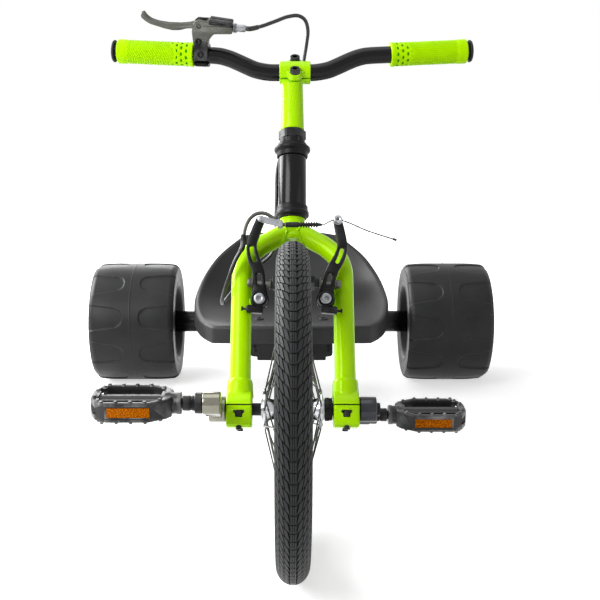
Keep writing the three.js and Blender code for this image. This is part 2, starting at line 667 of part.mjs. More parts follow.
function brakeArm(side) {
  const { centre, outline } = armRibbon();
  const plate = plateXZ(outline, slotShares.map((slot) => armSlot(centre, slot)), armFront,
    brake.armBack);
  const hubSolid = rodY(hubFront, brake.armBack, brake.hubRadius, 0, 0, facets.tube);
  const holder = rodY(brake.armBack - brake.holderThickness, brake.armBack, brake.holderRadius, 0, 0,
    facets.tube);
  const lugTop = -brake.holderDrop;
  const lug = block(-brake.endRadius, brake.holderReach, hubFront, brake.armBack,
    lugTop - brake.holderHeight, lugTop);
  const screwZ = lugTop - brake.holderHeight / 2;
  const screwY = (hubFront + brake.armBack) / 2;
  const screw = rodX(brake.holderReach - gap, brake.screwReach, brake.screwRadius, screwY, screwZ,
    facets.cable);
  const head = rodX(brake.screwReach - brake.screwHeadLength, brake.screwReach, brake.screwHead, screwY,
    screwZ, facets.cable);
  const bore = rodY(hubFront - overrun, brake.armBack + overrun, clearBore(brake.boltRadius), 0, 0,
    facets.bore);
  const [topX, topZ] = armPoint(armShares[armShares.length - 1]);
  const topHole = rodY(armFront - overrun, brake.armBack + overrun, brake.boltRadius / 2 + gap, topX,
    topZ, facets.cable);
  const stud = rodX(-brake.studBore, brake.studBore, brake.studRadius + gap,
    armFront + brake.armThickness / 2, brake.padRise, facets.small);
  return mirrored(cut(join(plate, hubSolid, holder, lug, screw, head), bore, topHole, stud), side);
}

function brakePad(side) {
  const tilt = THREE.MathUtils.degToRad(side * brake.tilt);
  const inner = padX(side) - brake.pivotX;
  const y = armFront + brake.armThickness / 2;
  const [halfLength, halfHeight] = [brake.padLength / 2, brake.padHeight / 2];
  const rise = brake.padRise * Math.cos(tilt);
  const pad = block(inner, inner + brake.padThickness, y - halfLength, y + halfLength, rise - halfHeight,
    rise + halfHeight);
  const upright = solidOf(geometryOf(pad).rotateY(-tilt));
  const start = inner + brake.padThickness / 2;
  const nutStart = armPoint(armShares[2])[0] + brake.armLength * armShares[2][2] + brake.nutClear;
  const studSolid = rodX(start, brake.studEnd, brake.studRadius, y, brake.padRise, facets.cable);
  const nut = rodX(nutStart, nutStart + brake.nutThickness, brake.nutRadius, y, brake.padRise,
    headset.nutSides);
  return mirrored(join(upright, studSolid, nut), side);
}

function pivotBolt(side) {
  const x = side * brake.pivotX;
  const front = hubFront - gap;
  return join(
    rodY(front - brake.headHeight, front, brake.headRadius, x, brake.pivotZ, facets.tube),
    rodY(front - gap, brake.armBack + brake.boltDepth, brake.boltRadius, x, brake.pivotZ, facets.small));
}

// Places on the brake, in the steering frame
const armY = armFront + brake.armThickness / 2;

function armTop(side) {
  const [x, z] = armPoint(armShares[armShares.length - 1]);
  const tilt = THREE.MathUtils.degToRad(side * brake.tilt);
  const out = x * Math.cos(tilt) + z * Math.sin(tilt);
  const up = z * Math.cos(tilt) - x * Math.sin(tilt);
  return [side * (brake.pivotX + out), armY, brake.pivotZ + up];
}

// The curved pipe that leads the cable over the right arm, and the link that holds its nose
const [rightTopX, , rightTopZ] = armTop(-1);
const noodleRoute = [
  [-60.5, armY, 206], [-59.4, armY, 216], [-56.5, armY, 227], [-51, armY, 236], [-43, armY, 240.9],
  [-34, armY, 240.9], [-26, armY, 236.6], [-19, armY, 230.4], [-14, armY, 227],
  [noodle.tipX, armY, boot.height],
];

function cableNoodle() {
  const front = armFront - gap;
  const half = noodle.linkHeight / 2;
  const outline = [
    [rightTopX, rightTopZ + half], [rightTopX - half, rightTopZ], [rightTopX, rightTopZ - half],
    [noodle.linkEnd, boot.height - half], [noodle.linkEnd, boot.height + half],
  ];
  const plate = plateXZ(outline, [], front - noodle.linkThickness, front);
  const noseBlock = block(noodle.linkEnd - noodle.nose, noodle.linkEnd, front - noodle.linkThickness,
    armY + noodle.backDepth / 2,
    boot.height - half, boot.height + half);
  const pin = rodY(front - noodle.linkThickness - noodle.radius, armY, brake.boltRadius / 2, rightTopX,
    rightTopZ, facets.cable);
  const head = rodY(front - noodle.linkThickness - noodle.radius, front - gap, half, rightTopX, rightTopZ,
    facets.small);
  return join(plate, noseBlock, pin, head,
    solidOf(sweep(noodleRoute, noodle.radius, facets.cable, noodle.bendSteps)));
}

// Rubber boot over the inner wire: a plain sleeve, bellows and a pointed tip
function cableBoot() {
  const start = noodle.tipX + gap;
  const bellowsStart = start + boot.plainLength;
  const profile = [[0, start], [boot.plainRadius, start], [boot.plainRadius, bellowsStart]];
  for (let i = 0; i < boot.ribCount; i += 1) {
    const from = bellowsStart + i * boot.ribPitch;
    profile.push([boot.ribRoot, from + boot.ribPitch / 4], [boot.ribRadius, from + boot.ribPitch / 2]);
    profile.push([boot.ribRadius, from + boot.ribPitch - boot.ribPitch / 4]);
  }
  const bellowsEnd = bellowsStart + boot.ribCount * boot.ribPitch;
  profile.push([boot.ribRoot, bellowsEnd + boot.ribPitch / 4],
    [boot.tipRadius, bellowsEnd + boot.tipLength], [0, bellowsEnd + boot.tipLength]);
  return turnedX(profile, facets.cable).translate(0, armY, boot.height);
}

const bootEnd = noodle.tipX + gap + boot.plainLength + boot.ribCount * boot.ribPitch + boot.tipLength;
const [leftTopX, , leftTopZ] = armTop(1);
const wireY = armFront - gap - wire.anchorHeight / 2;
const wireRoute = [
  [bootEnd + boot.wireClear, armY, boot.height],
  [leftTopX - wire.anchorRadius, wireY, leftTopZ - wire.radius],
  [leftTopX, wireY, leftTopZ], [leftTopX + wire.pastAnchor, wireY, leftTopZ - wire.dip],
  [(leftTopX + wire.tailX) / 2, wireY, leftTopZ - wire.tailDrop / 2],
  [wire.tailX, wireY, leftTopZ - wire.tailDrop],
];

function innerWire() {
  const run = solidOf(sweep(wireRoute, wire.radius, wire.sides, wire.bendSteps));
  const [x, y, z] = wireRoute[wireRoute.length - 1];
  const crimp = rodBetween([x - wire.crimpLength, y, z], [x, y, z], wire.crimpRadius, facets.cable);
  return join(run, crimp);
}

function anchorBolt() {
  const front = armFront - gap;
  return join(
    rodY(front - wire.anchorHeight, front, wire.anchorRadius, leftTopX, leftTopZ, facets.tube),
    rodY(front - gap, armY, brake.boltRadius / 2, leftTopX, leftTopZ, facets.cable), innerWire());
}

// Brake cable: from the adjuster over the bars, down behind the head tube, past the left of
// the backbone, round the outside of the right fork leg and up into the curved pipe
const cable = { radius: 2.5, adjusterRun: 5, noodleRun: 7.5, noodleSide: 0.6, bendSteps: 58 };
const cableRoute = [
  [-41, -27, 501], [-22, -20, 512], [-6, -13, 522], [8, -7, 526.5], [17, 0, 524], [21, 8, 514],
  [19.5, 17, 499], [16, 24, 479], [12, 27.5, 450], [7, 28, 415], [0, 29, 385], [-9, 31, 358],
  [-18, 32.5, 335], [-20.5, 32, 315], [-20.8, 31.5, 290], [-21.5, 33, 262], [-21.5, 35, 234],
  [-26, 37.5, 212], [-38, 40, 200], [-54, 40, 189], [-69, 36, 172], [-80, 26, 154], [-87, 11, 141],
  [-88.5, -7, 137], [-85, -26, 145], [-78, -39, 162], [-70, -46, 182],
];

// Rim, tyre, hub
function rimRing() {
  const [w, f] = [rim.halfWidth, rim.flange];
  const bed = rim.bed;
  return wheelX([
    [rim.inner, -w * rim.crownShare], [rim.inner + rim.flange, -w], [rim.outer, -w], [rim.outer, -w + f],
    [bed, -w + f], [bed, w - f], [rim.outer, w - f], [rim.outer, w], [rim.inner + rim.flange, w],
    [rim.inner, w * rim.crownShare], [rim.inner, -w * rim.crownShare],
  ], facets.wheel);
}

function tyreRing() {
  const bead = rim.halfWidth - rim.flange - gap;
  const foot = rim.bed + gap;
  const lift = rim.outer + gap;
  const half = [
    [foot, bead], [lift, bead], [lift + rim.lip, rim.halfWidth],
    [tyre.bulge - tyre.halfWidth / 3, tyre.halfWidth - gap],
    [tyre.bulge + tyre.halfWidth / 3, tyre.halfWidth - gap],
    [tyreRadius - tyre.shoulderDrop, tyre.shoulder], [tyreRadius, tyre.crown],
  ];
  const other = half.map(([r, x]) => [r, -x]).reverse();
  return wheelX([...half, ...other, half[0]], facets.wheel);
}

function spokedHub() {
  const bore = clearBore(axleRadius);
  const [f, t] = [hub.flangeX, hub.flangeThickness / 2];
  const shell = solidOf(turnedX([
    [bore, -hub.halfLength], [hub.radius, -hub.halfLength], [hub.radius, -f - t],
    [hub.flangeRadius, -f - t],
    [hub.flangeRadius, -f + t], [hub.radius, -f + t + hub.flangeThickness],
    [hub.radius, f - t - hub.flangeThickness],
    [hub.flangeRadius, f - t], [hub.flangeRadius, f + t], [hub.radius, f + t],
    [hub.radius, hub.halfLength],
    [bore, hub.halfLength], [bore, -hub.halfLength],
  ], facets.hub));
  const reach = rim.inner - hub.spokeClear;
  const cross = THREE.MathUtils.degToRad(hub.crossAngle);
  const spokes = [];
  for (let i = 0; i < hub.spokeCount; i += 1) {
    const side = i % 2 === 0 ? 1 : -1;
    const way = i % 4 < 2 ? 1 : -1;
    const rimAngle = (2 * Math.PI * i) / hub.spokeCount;
    const hubAngle = rimAngle + way * cross;
    spokes.push(rodBetween(
      [side * (f + way * hub.lacing), hub.holeRadius * Math.cos(hubAngle),
      hub.holeRadius * Math.sin(hubAngle)],
      [side * (hub.rimX + way * hub.lacing), reach * Math.cos(rimAngle), reach * Math.sin(rimAngle)],
      hub.spokeRadius, facets.spoke));
  }
  return join(shell, ...spokes);
}

// Rim with its air valve
function rimAndValve() {
  const angle = Math.PI / hub.spokeCount;
  const outer = rim.inner + rim.flange;
  const inner = outer - valve.length;
  const at = (radius) => [0, radius * Math.cos(angle), radius * Math.sin(angle)];
  return join(solidOf(rimRing()), rodBetween(at(inner), at(outer), valve.radius, facets.cable),
    rodBetween(at(inner - valve.radius), at(inner + valve.radius), valve.collarRadius, facets.cable));
}

// Front axle with square ends for the cranks, and the sleeve and ring beside the hub
function frontAxle() {
  const shaftEnd = crank.inner - gap;
  const squareEnd = crank.inner + crank.thickness - gap;
  const side = crank.squareHalf - gap;
  return join(
    rodX(-shaftEnd, shaftEnd, axleRadius, 0, 0, facets.bore),
    block(-squareEnd, squareEnd, -side, side, -side, side));
}

function drivePlate() {
  const start = hub.halfLength + gap;
  const ringStart = start + sleeve.length;
  const bore = clearBore(axleRadius);
  return turnedX([
    [bore, start], [sleeve.radius, start], [sleeve.radius, ringStart], [sleeve.ringRadius, ringStart],
    [sleeve.ringRadius, ringStart + sleeve.ringLength], [bore, ringStart + sleeve.ringLength],
    [bore, start],
  ], facets.hub);
}

// Cranks: a boss on the axle's square, a waisted arm and a threaded eye for the pedal.
// Drawn for the left side with the arm along +y.
function crankArm(side) {
  const [x0, x1] = [crank.inner, crank.inner + crank.thickness];
  const middle = (x0 + x1) / 2;
  const thin = crank.waistThickness / 2;
  const boss = rodX(x0, x1, crank.bossRadius, 0, 0, facets.hub);
  const eye = rodX(x0, x1, crank.endRadius, crank.length, 0, facets.hub);
  const atBoss = crank.waistRadius + crank.bossFlare;
  const atEye = crank.waistRadius + crank.eyeFlare;
  const outline = [
    [0, atBoss], [crank.length / 2, crank.waistRadius], [crank.length, atEye],
    [crank.length, -atEye], [crank.length / 2, -crank.waistRadius], [0, -atBoss],
  ];
  const web = plateXZ(outline, [], -middle - thin, -middle + thin);
  const webTurned = solidOf(geometryOf(web).rotateZ(Math.PI / 2));
  const square = block(x0 - overrun, x1 + overrun, -crank.squareHalf, crank.squareHalf, -crank.squareHalf,
    crank.squareHalf);
  const eyeBore = rodX(x0 - overrun, x1 + overrun, spindle.shaftRadius + gap, crank.length, 0,
    facets.small);
  return mirrored(cut(join(boss, eye, webTurned), square, eyeBore), side);
}

function crankBolt() {
  const start = crank.inner + crank.thickness + gap;
  return turnedX([
    [0, start], [crank.boltRadius, start], [crank.boltRadius, start + crank.boltHeight],
    [crank.boltRadius - crank.boltBevel, start + crank.boltHeight + crank.boltDome],
    [0, start + crank.boltHeight + crank.boltDome],
  ], facets.tube);
}

function pedalSpindle() {
  const start = crank.inner + crank.thickness + gap;
  const neck = start + spindle.collarLength;
  const neckEnd = neck + spindle.neckLength;
  return turnedX([
    [0, crank.inner + gap], [spindle.shaftRadius, crank.inner + gap], [spindle.shaftRadius, start],
    [spindle.collarRadius, start], [spindle.collarRadius, neck], [spindle.radius, neck],
    [spindle.radius, neckEnd], [spindle.shaftRadius, neckEnd], [spindle.shaftRadius, spindle.endX],
    [0, spindle.endX],
  ], facets.small);
}

// Pedal: a cage with a spindle barrel, two windows and reflector pockets front and rear
function pedalBody() {
  const [x0, x1] = [pedal.inner, pedal.inner + pedal.width];
  const [y, h] = [pedal.depth / 2, pedal.height / 2];
  const c = pedal.chamfer;
  const outline = [
    [x0, -pedal.neckRadius], [x0 + c / 3, -y + c - c / 3], [x0 + pedal.taper, -y], [x1 - c, -y],
    [x1, -y + c],
    [x1, y - c], [x1 - c, y], [x0 + pedal.taper, y], [x0 + c / 3, y - c + c / 3], [x0, pedal.neckRadius],
  ];
  const [w0, w1] = [x0 + pedal.innerWall, x1 - pedal.wall];
  const outerY = y - pedal.wall - pedal.reflectorDepth / 2;
  const windows = frontAndRear.map(([, way]) => [
    [w0, way * pedal.barrelRadius], [w1, way * pedal.barrelRadius],
    [w1, way * (y - c)], [w1 - c / 2, way * outerY], [w0 + c, way * outerY], [w0, way * (y - c)],
  ]);
  const cage = plateXY(outline, windows, -h, h);
  const barrel = rodX(x0, x1 - pedal.wall, pedal.barrelRadius, 0, 0, facets.tube);
  const neck = rodX(x0 - pedal.neckLength, x0 + pedal.wall, pedal.neckRadius, 0, 0, facets.tube);
  const bore = rodX(x0 - pedal.neckLength - overrun, spindle.endX + pedal.boreSpare,
    clearBore(spindle.shaftRadius), 0, 0, facets.bore);
  const half = pedal.reflectorWidth / 2 + gap;
  const pockets = frontAndRear.map(([, way]) => block(
    pedal.reflectorX - half, pedal.reflectorX + half, way * (y - pedal.reflectorDepth),
    way * (y + overrun),
    -pedal.reflectorHeight / 2 - gap, pedal.reflectorHeight / 2 + gap));
  return cut(join(cage, barrel, neck), bore, ...pockets);
}

function pedalReflector(way) {
  const half = pedal.reflectorWidth / 2;
  const y = pedal.depth / 2;
  return block(pedal.reflectorX - half, pedal.reflectorX + half, way * (y - pedal.reflectorDepth + gap),
    way * (y - pedal.reflectorSink),
    -pedal.reflectorHeight / 2, pedal.reflectorHeight / 2);
}

// Rear wheels: wide hollow mouldings with a deep recess each side of the web
function rearWheelRing() {
  const w = rearWheelWidth;
  const r = rearWheel;
  const bore = rearAxle.radius + gap;
  const inner = rearWheelOuter - w;
  const outside = [
    [r.recess, 0], [rearRadius - r.edgeRadiusDrop - r.edge / 4, 0],
    [rearRadius - r.edgeRadiusDrop / 2, r.edge / 3], [rearRadius - r.barrelDrop, r.edge],
    [rearRadius, w / 3],
    [rearRadius, w - w / 3], [rearRadius - r.barrelDrop, w - r.edge],
    [rearRadius - r.edgeRadiusDrop / 2, w - r.edge / 3],
    [rearRadius - r.edgeRadiusDrop - r.edge / 4, w], [r.recess, w],
    [r.recessFloor, w - r.recessDepth], [r.hubRadius, w - r.recessDepth], [r.hubRadius, w - r.hubStart],
    [bore, w - r.hubStart], [bore, r.hubStart], [r.hubRadius, r.hubStart], [r.hubRadius, r.recessDepth],
    [r.recessFloor, r.recessDepth], [r.recess, 0],
  ];
  return wheelX(outside.map(([radius, x]) => [radius, x + inner]), facets.rear);
}

const rearHubOuter = rearWheelOuter - rearWheel.hubStart;

function rearNut() {
  const start = rearHubOuter + rearAxle.washerGap;
  const hex = rodX(start, start + rearAxle.nutHeight, rearAxle.nutRadius, 0, 0, headset.nutSides);
  return cut(hex,
    rodX(start - overrun, start + rearAxle.nutHeight + overrun, rearAxle.radius + gap, 0, 0,
    facets.bore));
}

// Frame: head tube, backbone, rear cross tube, seat rails and the plate under the seat's front
const steerPoint = (y, z) => [
  0,
  steering.position.y + y * Math.cos(lean) + z * Math.sin(lean),
  steering.position.z - y * Math.sin(lean) + z * Math.cos(lean),
];

function trikeFrame() {
  const head = rodBetween(steerPoint(0, headset.tubeBottom), steerPoint(0, headset.tubeTop),
    headset.tubeRadius, facets.hub);
  const bore = rodBetween(steerPoint(0, headset.tubeBottom - overrun),
    steerPoint(0, headset.tubeTop + overrun), headset.tubeBore, facets.bore);
  const middle = (headset.tubeBottom + headset.tubeTop) / 2;
  const front = frontAxleY;
  const backbone = solidOf(sweep([
    steerPoint(0, middle), [0, front + frame.shoulderY, frame.shoulderHeight],
    [0, front + frame.kneeY, frame.kneeHeight],
    [0, front + frame.dropY, frame.dropHeight], [0, front + frame.plateY, frame.lowHeight + gap],
    [0, rearAxleY, frame.lowHeight],
  ], frame.tubeRadius, facets.tube, frame.bendSteps));
  const crossHalf = rearWheelOuter - rearWheelWidth + rearWheel.hubStart - gap;
  const cross = rodX(-crossHalf, crossHalf, frame.crossRadius, rearAxleY, rearRadius, facets.hub);
  const axleBore = rodX(-crossHalf - overrun, crossHalf + overrun, rearAxle.radius + gap, rearAxleY,
    rearRadius, facets.bore);
  const plateY = front + frame.plateY;
  const plate = block(-frame.plateHalfWidth, frame.plateHalfWidth, plateY, plateY + frame.plateThickness,
    frame.plateBottom, frame.plateTop);
  const rails = bothSides.map(([, side]) => {
    const x = side * frame.railX;
    const half = frame.railWidth / 2;
    return block(x - half, x + half, plateY + frame.plateThickness / 2, rearAxleY + half,
      frame.railBottom, frame.railTop);
  });
  const shelf = block(-frame.railX, frame.railX, plateY, plateY + frame.shelfDepth, frame.lowHeight,
    frame.railBottom + overrun);
  const boltHoles = bothSides.map(([, side]) => rodZ(
    frame.railTop - seat.boltLength, frame.railTop + overrun, seat.boltRadius + gap, side * seat.boltX,
    front + seat.boltY));
  return cut(join(cut(join(head, backbone), bore), cross, plate, shelf, ...rails), axleBore,
    ...boltHoles);
}

// Seat: a bucket lofted from its centre line to its rim, with a turned-down skirt all round
const seatRise = seat.backHeight - seat.panHeight;

function seatLine(shares) {
  return new THREE.CatmullRomCurve3(shares.map(([out, along, up]) => new THREE.Vector3(
    seat.halfWidth * out, frontAxleY + seat.frontY + seat.length * along, seat.panHeight + seatRise * up)));
}

const seatMiddle = seatLine(seatCentreShares.map(([along, up]) => [0, along, up]));
const seatRim = seatLine(seatRimShares);

// A point of the seat's upper face: u runs from front to back, v from one side to the other
function seatPoint(u, v) {
  const middle = seatMiddle.getPoint(u);
  const edge = seatRim.getPoint(u);
  const across = Math.sin((v * Math.PI) / 2) * (1 - seat.flatShare) + v * seat.flatShare;
  const up = Math.abs(v) ** seat.power;
  return [edge.x * across, middle.y + (edge.y - middle.y) * v * v, middle.z + (edge.z - middle.z) * up];
}

// Steps along one direction of the loft, with two rings close to each edge for the skirt
function seatSteps(count) {
  const inner = [];
  for (let i = 1; i < count; i += 1) inner.push(i / count);
  const edge = [0, seat.lipShare, seat.skirtShare];
  return [...edge, ...inner, ...edge.slice().reverse().map((value) => 1 - value)];
}

function seatShell() {
  const [us, vs] = [seatSteps(seat.rows), seatSteps(seat.columns)];
  const [rows, columns] = [us.length - 1, vs.length - 1];
  const top = us.map((u) => vs.map((v) => seatPoint(u, 2 * v - 1)));
  const bottom = top.map((row, i) => row.map(([x, y, z], j) => {
    const ring = Math.min(i, rows - i, j, columns - j);
    return [x, y, z - (ring <= 1 ? seat.skirt : seat.wall)];
  }));
  const places = [top, bottom].flat(3);
  const faces = [];
  const index = (layer, i, j) => (layer * (rows + 1) + i) * (columns + 1) + j;
  const quad = (a, b, c, d) => faces.push(a, b, c, a, c, d);
  for (let i = 0; i < rows; i += 1) {
    for (let j = 0; j < columns; j += 1) {
      quad(index(0, i, j), index(0, i, j + 1), index(0, i + 1, j + 1), index(0, i + 1, j));
      quad(index(1, i, j), index(1, i + 1, j), index(1, i + 1, j + 1), index(1, i, j + 1));
    }
    quad(index(0, i, 0), index(0, i + 1, 0), index(1, i + 1, 0), index(1, i, 0));
    quad(index(0, i + 1, columns), index(0, i, columns), index(1, i, columns), index(1, i + 1, columns));
  }
  for (let j = 0; j < columns; j += 1) {
    quad(index(0, 0, j + 1), index(0, 0, j), index(1, 0, j), index(1, 0, j + 1));
    quad(index(0, rows, j), index(0, rows, j + 1), index(1, rows, j + 1), index(1, rows, j));
  }
  const geometry = new THREE.BufferGeometry();
  geometry.setAttribute('position', new THREE.Float32BufferAttribute(places, 3));
  geometry.setIndex(faces);
  const [x, y] = [seat.boltX, frontAxleY + seat.boltY];
  const holes = bothSides.flatMap(([, side]) => [
    rodZ(0, seat.backHeight, seat.boltRadius + gap, side * x, y),
    rodZ(boltSeat(), seat.backHeight, seat.boltHead + seat.pocketClear, side * x, y, facets.tube)]);
  return cut(solidOf(geometry), ...holes);
}

// Height of the flat spot sunk into the seat under each bolt head
function boltSeat() {
  const count = seat.searchSteps;
  let height = seat.backHeight;
  for (let i = 0; i <= count; i += 1) {
    for (let j = 0; j <= count; j += 1) {
      const [x, y, z] = seatPoint(i / count, (2 * j) / count - 1);
      const away = Math.hypot(x - seat.boltX, y - frontAxleY - seat.boltY);
      if (away < seat.boltHead) height = Math.min(height, z);
    }
  }
  return height - gap;
}

function seatBolt(side) {
  const x = side * seat.boltX;
  const y = frontAxleY + seat.boltY;
  const under = boltSeat() + gap;
  return join(
    rodZ(under, under + seat.boltHeadHeight, seat.boltHead, x, y, facets.tube),
    rodZ(frame.railTop - seat.boltLength + seat.boltSpare, under + gap, seat.boltRadius, x, y,
    facets.cable));
}

// Assembly
put(trike, 'frame', trikeFrame(), finishes.blackPaint);
put(steering, 'lower_headset_cup', lowerCup(), finishes.blackSteel);
put(steering, 'upper_headset_cup', upperCup(), finishes.blackSteel);
put(trike, 'seat', seatShell(), finishes.plastic);
for (const [name, side] of bothSides) {
  put(trike, `seat_bolt_${name}`, seatBolt(side), finishes.blackSteel);
}
const axleHalf = rearHubOuter + rearAxle.washerGap + rearAxle.nutHeight + rearAxle.endSpare;
const rearAxleRod = put(trike, 'rear_axle', rodX(-axleHalf, axleHalf, rearAxle.radius, 0, 0, facets.bore),
  finishes.alloy);
rearAxleRod.position.set(0, rearAxleY, rearRadius);
for (const [name, side] of bothSides) {
  const group = new THREE.Group();
  group.position.set(0, rearAxleY, rearRadius);
  if (side < 0) group.rotation.z = Math.PI;
  trike.add(group);
  put(group, `rear_axle_nut_${name}`, rearNut(), finishes.alloy);
  put(group, `rear_wheel_${name}`, rearWheelRing(), finishes.plastic);
}

put(steering, 'fork', forkBody(), finishes.green);
put(steering, 'headset_lock_nut', lockNut(), finishes.blackSteel);
put(barGroup, 'stem', stemBody(), finishes.green);
put(clampGroup, 'stem_cap', stemCap(), finishes.green);
put(clampGroup, 'stem_bolt_front', stemBolt(-1), finishes.blackSteel);
put(clampGroup, 'stem_bolt_rear', stemBolt(1), finishes.blackSteel);
put(barGroup, 'handlebar', handlebar(), finishes.blackPaint);

const rightEnd = barEnd(-1);
const ends = { left: barEnd(1), right: rightEnd };
for (const [name, side] of bothSides) {
  const turnedEnd = new THREE.Group();
  if (side < 0) turnedEnd.rotation.z = Math.PI;
  ends[name].add(turnedEnd);
  put(turnedEnd, `grip_${name}`, grip(), finishes.gripGreen);
  put(turnedEnd, `bar_plug_${name}`, barPlug(), finishes.rubber);
}

const perchGroup = new THREE.Group();
perchGroup.position.x = -lever.seat;
perchGroup.rotation.x = capTurn - lean;
rightEnd.add(perchGroup);
put(perchGroup, 'lever_perch', perch(), finishes.darkAlloy);
put(perchGroup, 'brake_lever', leverBlade(), finishes.darkAlloy);
put(perchGroup, 'cable_adjuster', adjuster(), finishes.alloy);

for (const [name, side] of bothSides) {
  put(steering, `axle_cap_${name}`, axleCap(side), finishes.green);
  for (const [end, way] of frontAndRear) {
    put(steering, `axle_cap_bolt_${name}_${end}`, capBolt(side, way), finishes.blackSteel);
  }
  put(steering, `fork_bearing_${name}`, forkBearing(side), finishes.alloy);
  put(steering, `brake_pivot_bolt_${name}`, pivotBolt(side), finishes.chrome);
  const arm = new THREE.Group();
  arm.position.set(side * brake.pivotX, 0, brake.pivotZ);
  arm.rotation.y = THREE.MathUtils.degToRad(brake.tilt);
  steering.add(arm);
  put(arm, `brake_arm_${name}`, brakeArm(side), finishes.blackSteel);
  put(arm, `brake_pad_${name}`, brakePad(side), finishes.rubber);
}
put(steering, 'cable_noodle', cableNoodle(), finishes.chrome);
put(steering, 'cable_boot', cableBoot(), finishes.rubber);
put(steering, 'wire_anchor_bolt', anchorBolt(), finishes.chrome);

// The cable starts on the adjuster's end and stops under the pipe
trike.updateMatrixWorld(true);
const adjusterEnd = lever.adjusterX + gap + lever.nutLength + lever.adjusterLength + lever.cableClear;
const intoSteering = (x) => {
  const place = perchGroup.localToWorld(new THREE.Vector3(x, 0, lever.adjusterZ));
  return steering.worldToLocal(place).toArray();
};
const [noodleX, noodleY, noodleZ] = noodleRoute[0];
const fullCable = [
  intoSteering(adjusterEnd), intoSteering(adjusterEnd + cable.adjusterRun), ...cableRoute,
  [noodleX - cable.noodleSide, noodleY, noodleZ - cable.noodleRun], [noodleX, noodleY, noodleZ - gap],
];
put(steering, 'brake_cable', sweep(fullCable, cable.radius, facets.cable, cable.bendSteps),
  finishes.rubber);

const wheelGroup = new THREE.Group();
wheelGroup.rotation.x = lean;
axleGroup.add(wheelGroup);
put(wheelGroup, 'front_tyre', tyreRing(), finishes.rubber);
put(wheelGroup, 'front_rim', rimAndValve(), finishes.blackSteel);
put(wheelGroup, 'spoked_hub', spokedHub(), finishes.chrome);
put(axleGroup, 'front_axle', frontAxle(), finishes.blackSteel);
put(axleGroup, 'drive_plate', drivePlate(), finishes.chrome);

for (const [name, side] of bothSides) {
  const arm = new THREE.Group();
  if (side < 0) arm.rotation.x = Math.PI;
  axleGroup.add(arm);
  put(arm, `crank_${name}`, crankArm(side), finishes.chrome);
  const far = new THREE.Group();
  if (side < 0) far.rotation.y = Math.PI;
  arm.add(far);
  put(far, `crank_bolt_${name}`, crankBolt(), finishes.blackSteel);
  const pedalGroup = new THREE.Group();
  pedalGroup.position.y = crank.length;
  if (side < 0) pedalGroup.rotation.y = Math.PI;
  arm.add(pedalGroup);
  put(pedalGroup, `pedal_spindle_${name}`, pedalSpindle(), finishes.blackSteel);
  const level = new THREE.Group();
  level.rotation.x = side * lean;
  pedalGroup.add(level);
  put(level, `pedal_${name}`, pedalBody(), finishes.plastic);
  for (const [end, way] of frontAndRear) {
    put(level, `pedal_reflector_${name}_${end}`, pedalReflector(way), finishes.amber);
  }
}

export default trike;
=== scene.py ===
import math
import random

import bmesh
import bpy
import numpy as np
from mathutils import Matrix, Vector


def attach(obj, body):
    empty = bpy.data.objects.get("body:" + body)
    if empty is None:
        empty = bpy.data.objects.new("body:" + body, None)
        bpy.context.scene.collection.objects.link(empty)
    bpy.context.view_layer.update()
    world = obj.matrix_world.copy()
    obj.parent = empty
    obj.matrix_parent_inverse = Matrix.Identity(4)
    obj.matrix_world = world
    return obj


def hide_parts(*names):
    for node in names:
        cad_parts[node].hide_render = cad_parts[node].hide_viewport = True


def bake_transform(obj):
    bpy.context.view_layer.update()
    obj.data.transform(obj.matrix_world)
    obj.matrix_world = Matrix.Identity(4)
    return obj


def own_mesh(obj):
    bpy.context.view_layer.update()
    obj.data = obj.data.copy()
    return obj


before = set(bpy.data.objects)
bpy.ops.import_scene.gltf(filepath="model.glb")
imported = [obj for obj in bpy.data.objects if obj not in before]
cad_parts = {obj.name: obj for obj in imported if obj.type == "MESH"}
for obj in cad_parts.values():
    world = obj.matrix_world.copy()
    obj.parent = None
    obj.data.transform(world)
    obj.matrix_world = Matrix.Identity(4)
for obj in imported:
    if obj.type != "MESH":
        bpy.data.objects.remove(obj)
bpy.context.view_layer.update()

# A drift trike: pedalled front wheel, bucket seat, two wide moulded rear wheels.
# Sizes are millimetres in each piece's own frame; a place matrix brings them to metres.
print("frame loaded:", len(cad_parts), "nodes")


def turn(axis, degrees):
    return Matrix.Rotation(math.radians(degrees), 4, axis)


def shift(x, y, z):
    return Matrix.Translation((x, y, z))


# Places: the same axes as the frame's own pieces
trike = {"lean": 26, "frontAxleY": -295.25, "wheelRadius": 200, "forkOffset": 48, "barHeight": 448.5,
         "rearAxleY": 384.75, "rearRadius": 110.5, "clearance": 0.3, "clampShift": 3.6, "clampTurn": 54,
         "barEndX": 106, "barEndZ": 24.5, "barDrop": 2.4, "barSweep": 6, "leverShift": 11.5, "leverTurn": 28,
         "brakeX": 40, "brakeZ": 132, "brakeTilt": 4.6, "crank": 88}
leanTurn = math.radians(trike["lean"])
world = Matrix.Scale(0.001, 4)
steeringMm = shift(0, trike["frontAxleY"] + trike["forkOffset"] * math.cos(leanTurn),
                   trike["wheelRadius"] - trike["forkOffset"] * math.sin(leanTurn)) @ turn("X", -trike["lean"])
steering = world @ steeringMm
axlePlace = steering @ shift(0, -trike["forkOffset"], 0)
wheelPlace = axlePlace @ turn("X", trike["lean"])
barPlace = steering @ shift(0, 0, trike["barHeight"])
clampTurn = shift(trike["clampShift"], 0, 0) @ turn("X", trike["clampTurn"])
clampPlace = barPlace @ clampTurn
rearMm = shift(0, trike["rearAxleY"], trike["rearRadius"])
rearPlace = world @ rearMm
alongX = turn("Y", 90)   # turns a profile's height to +x
alongY = turn("X", -90)  # turns a profile's height to +y
inXZ = turn("X", 90)     # stands a flat outline up, its thickness towards -y
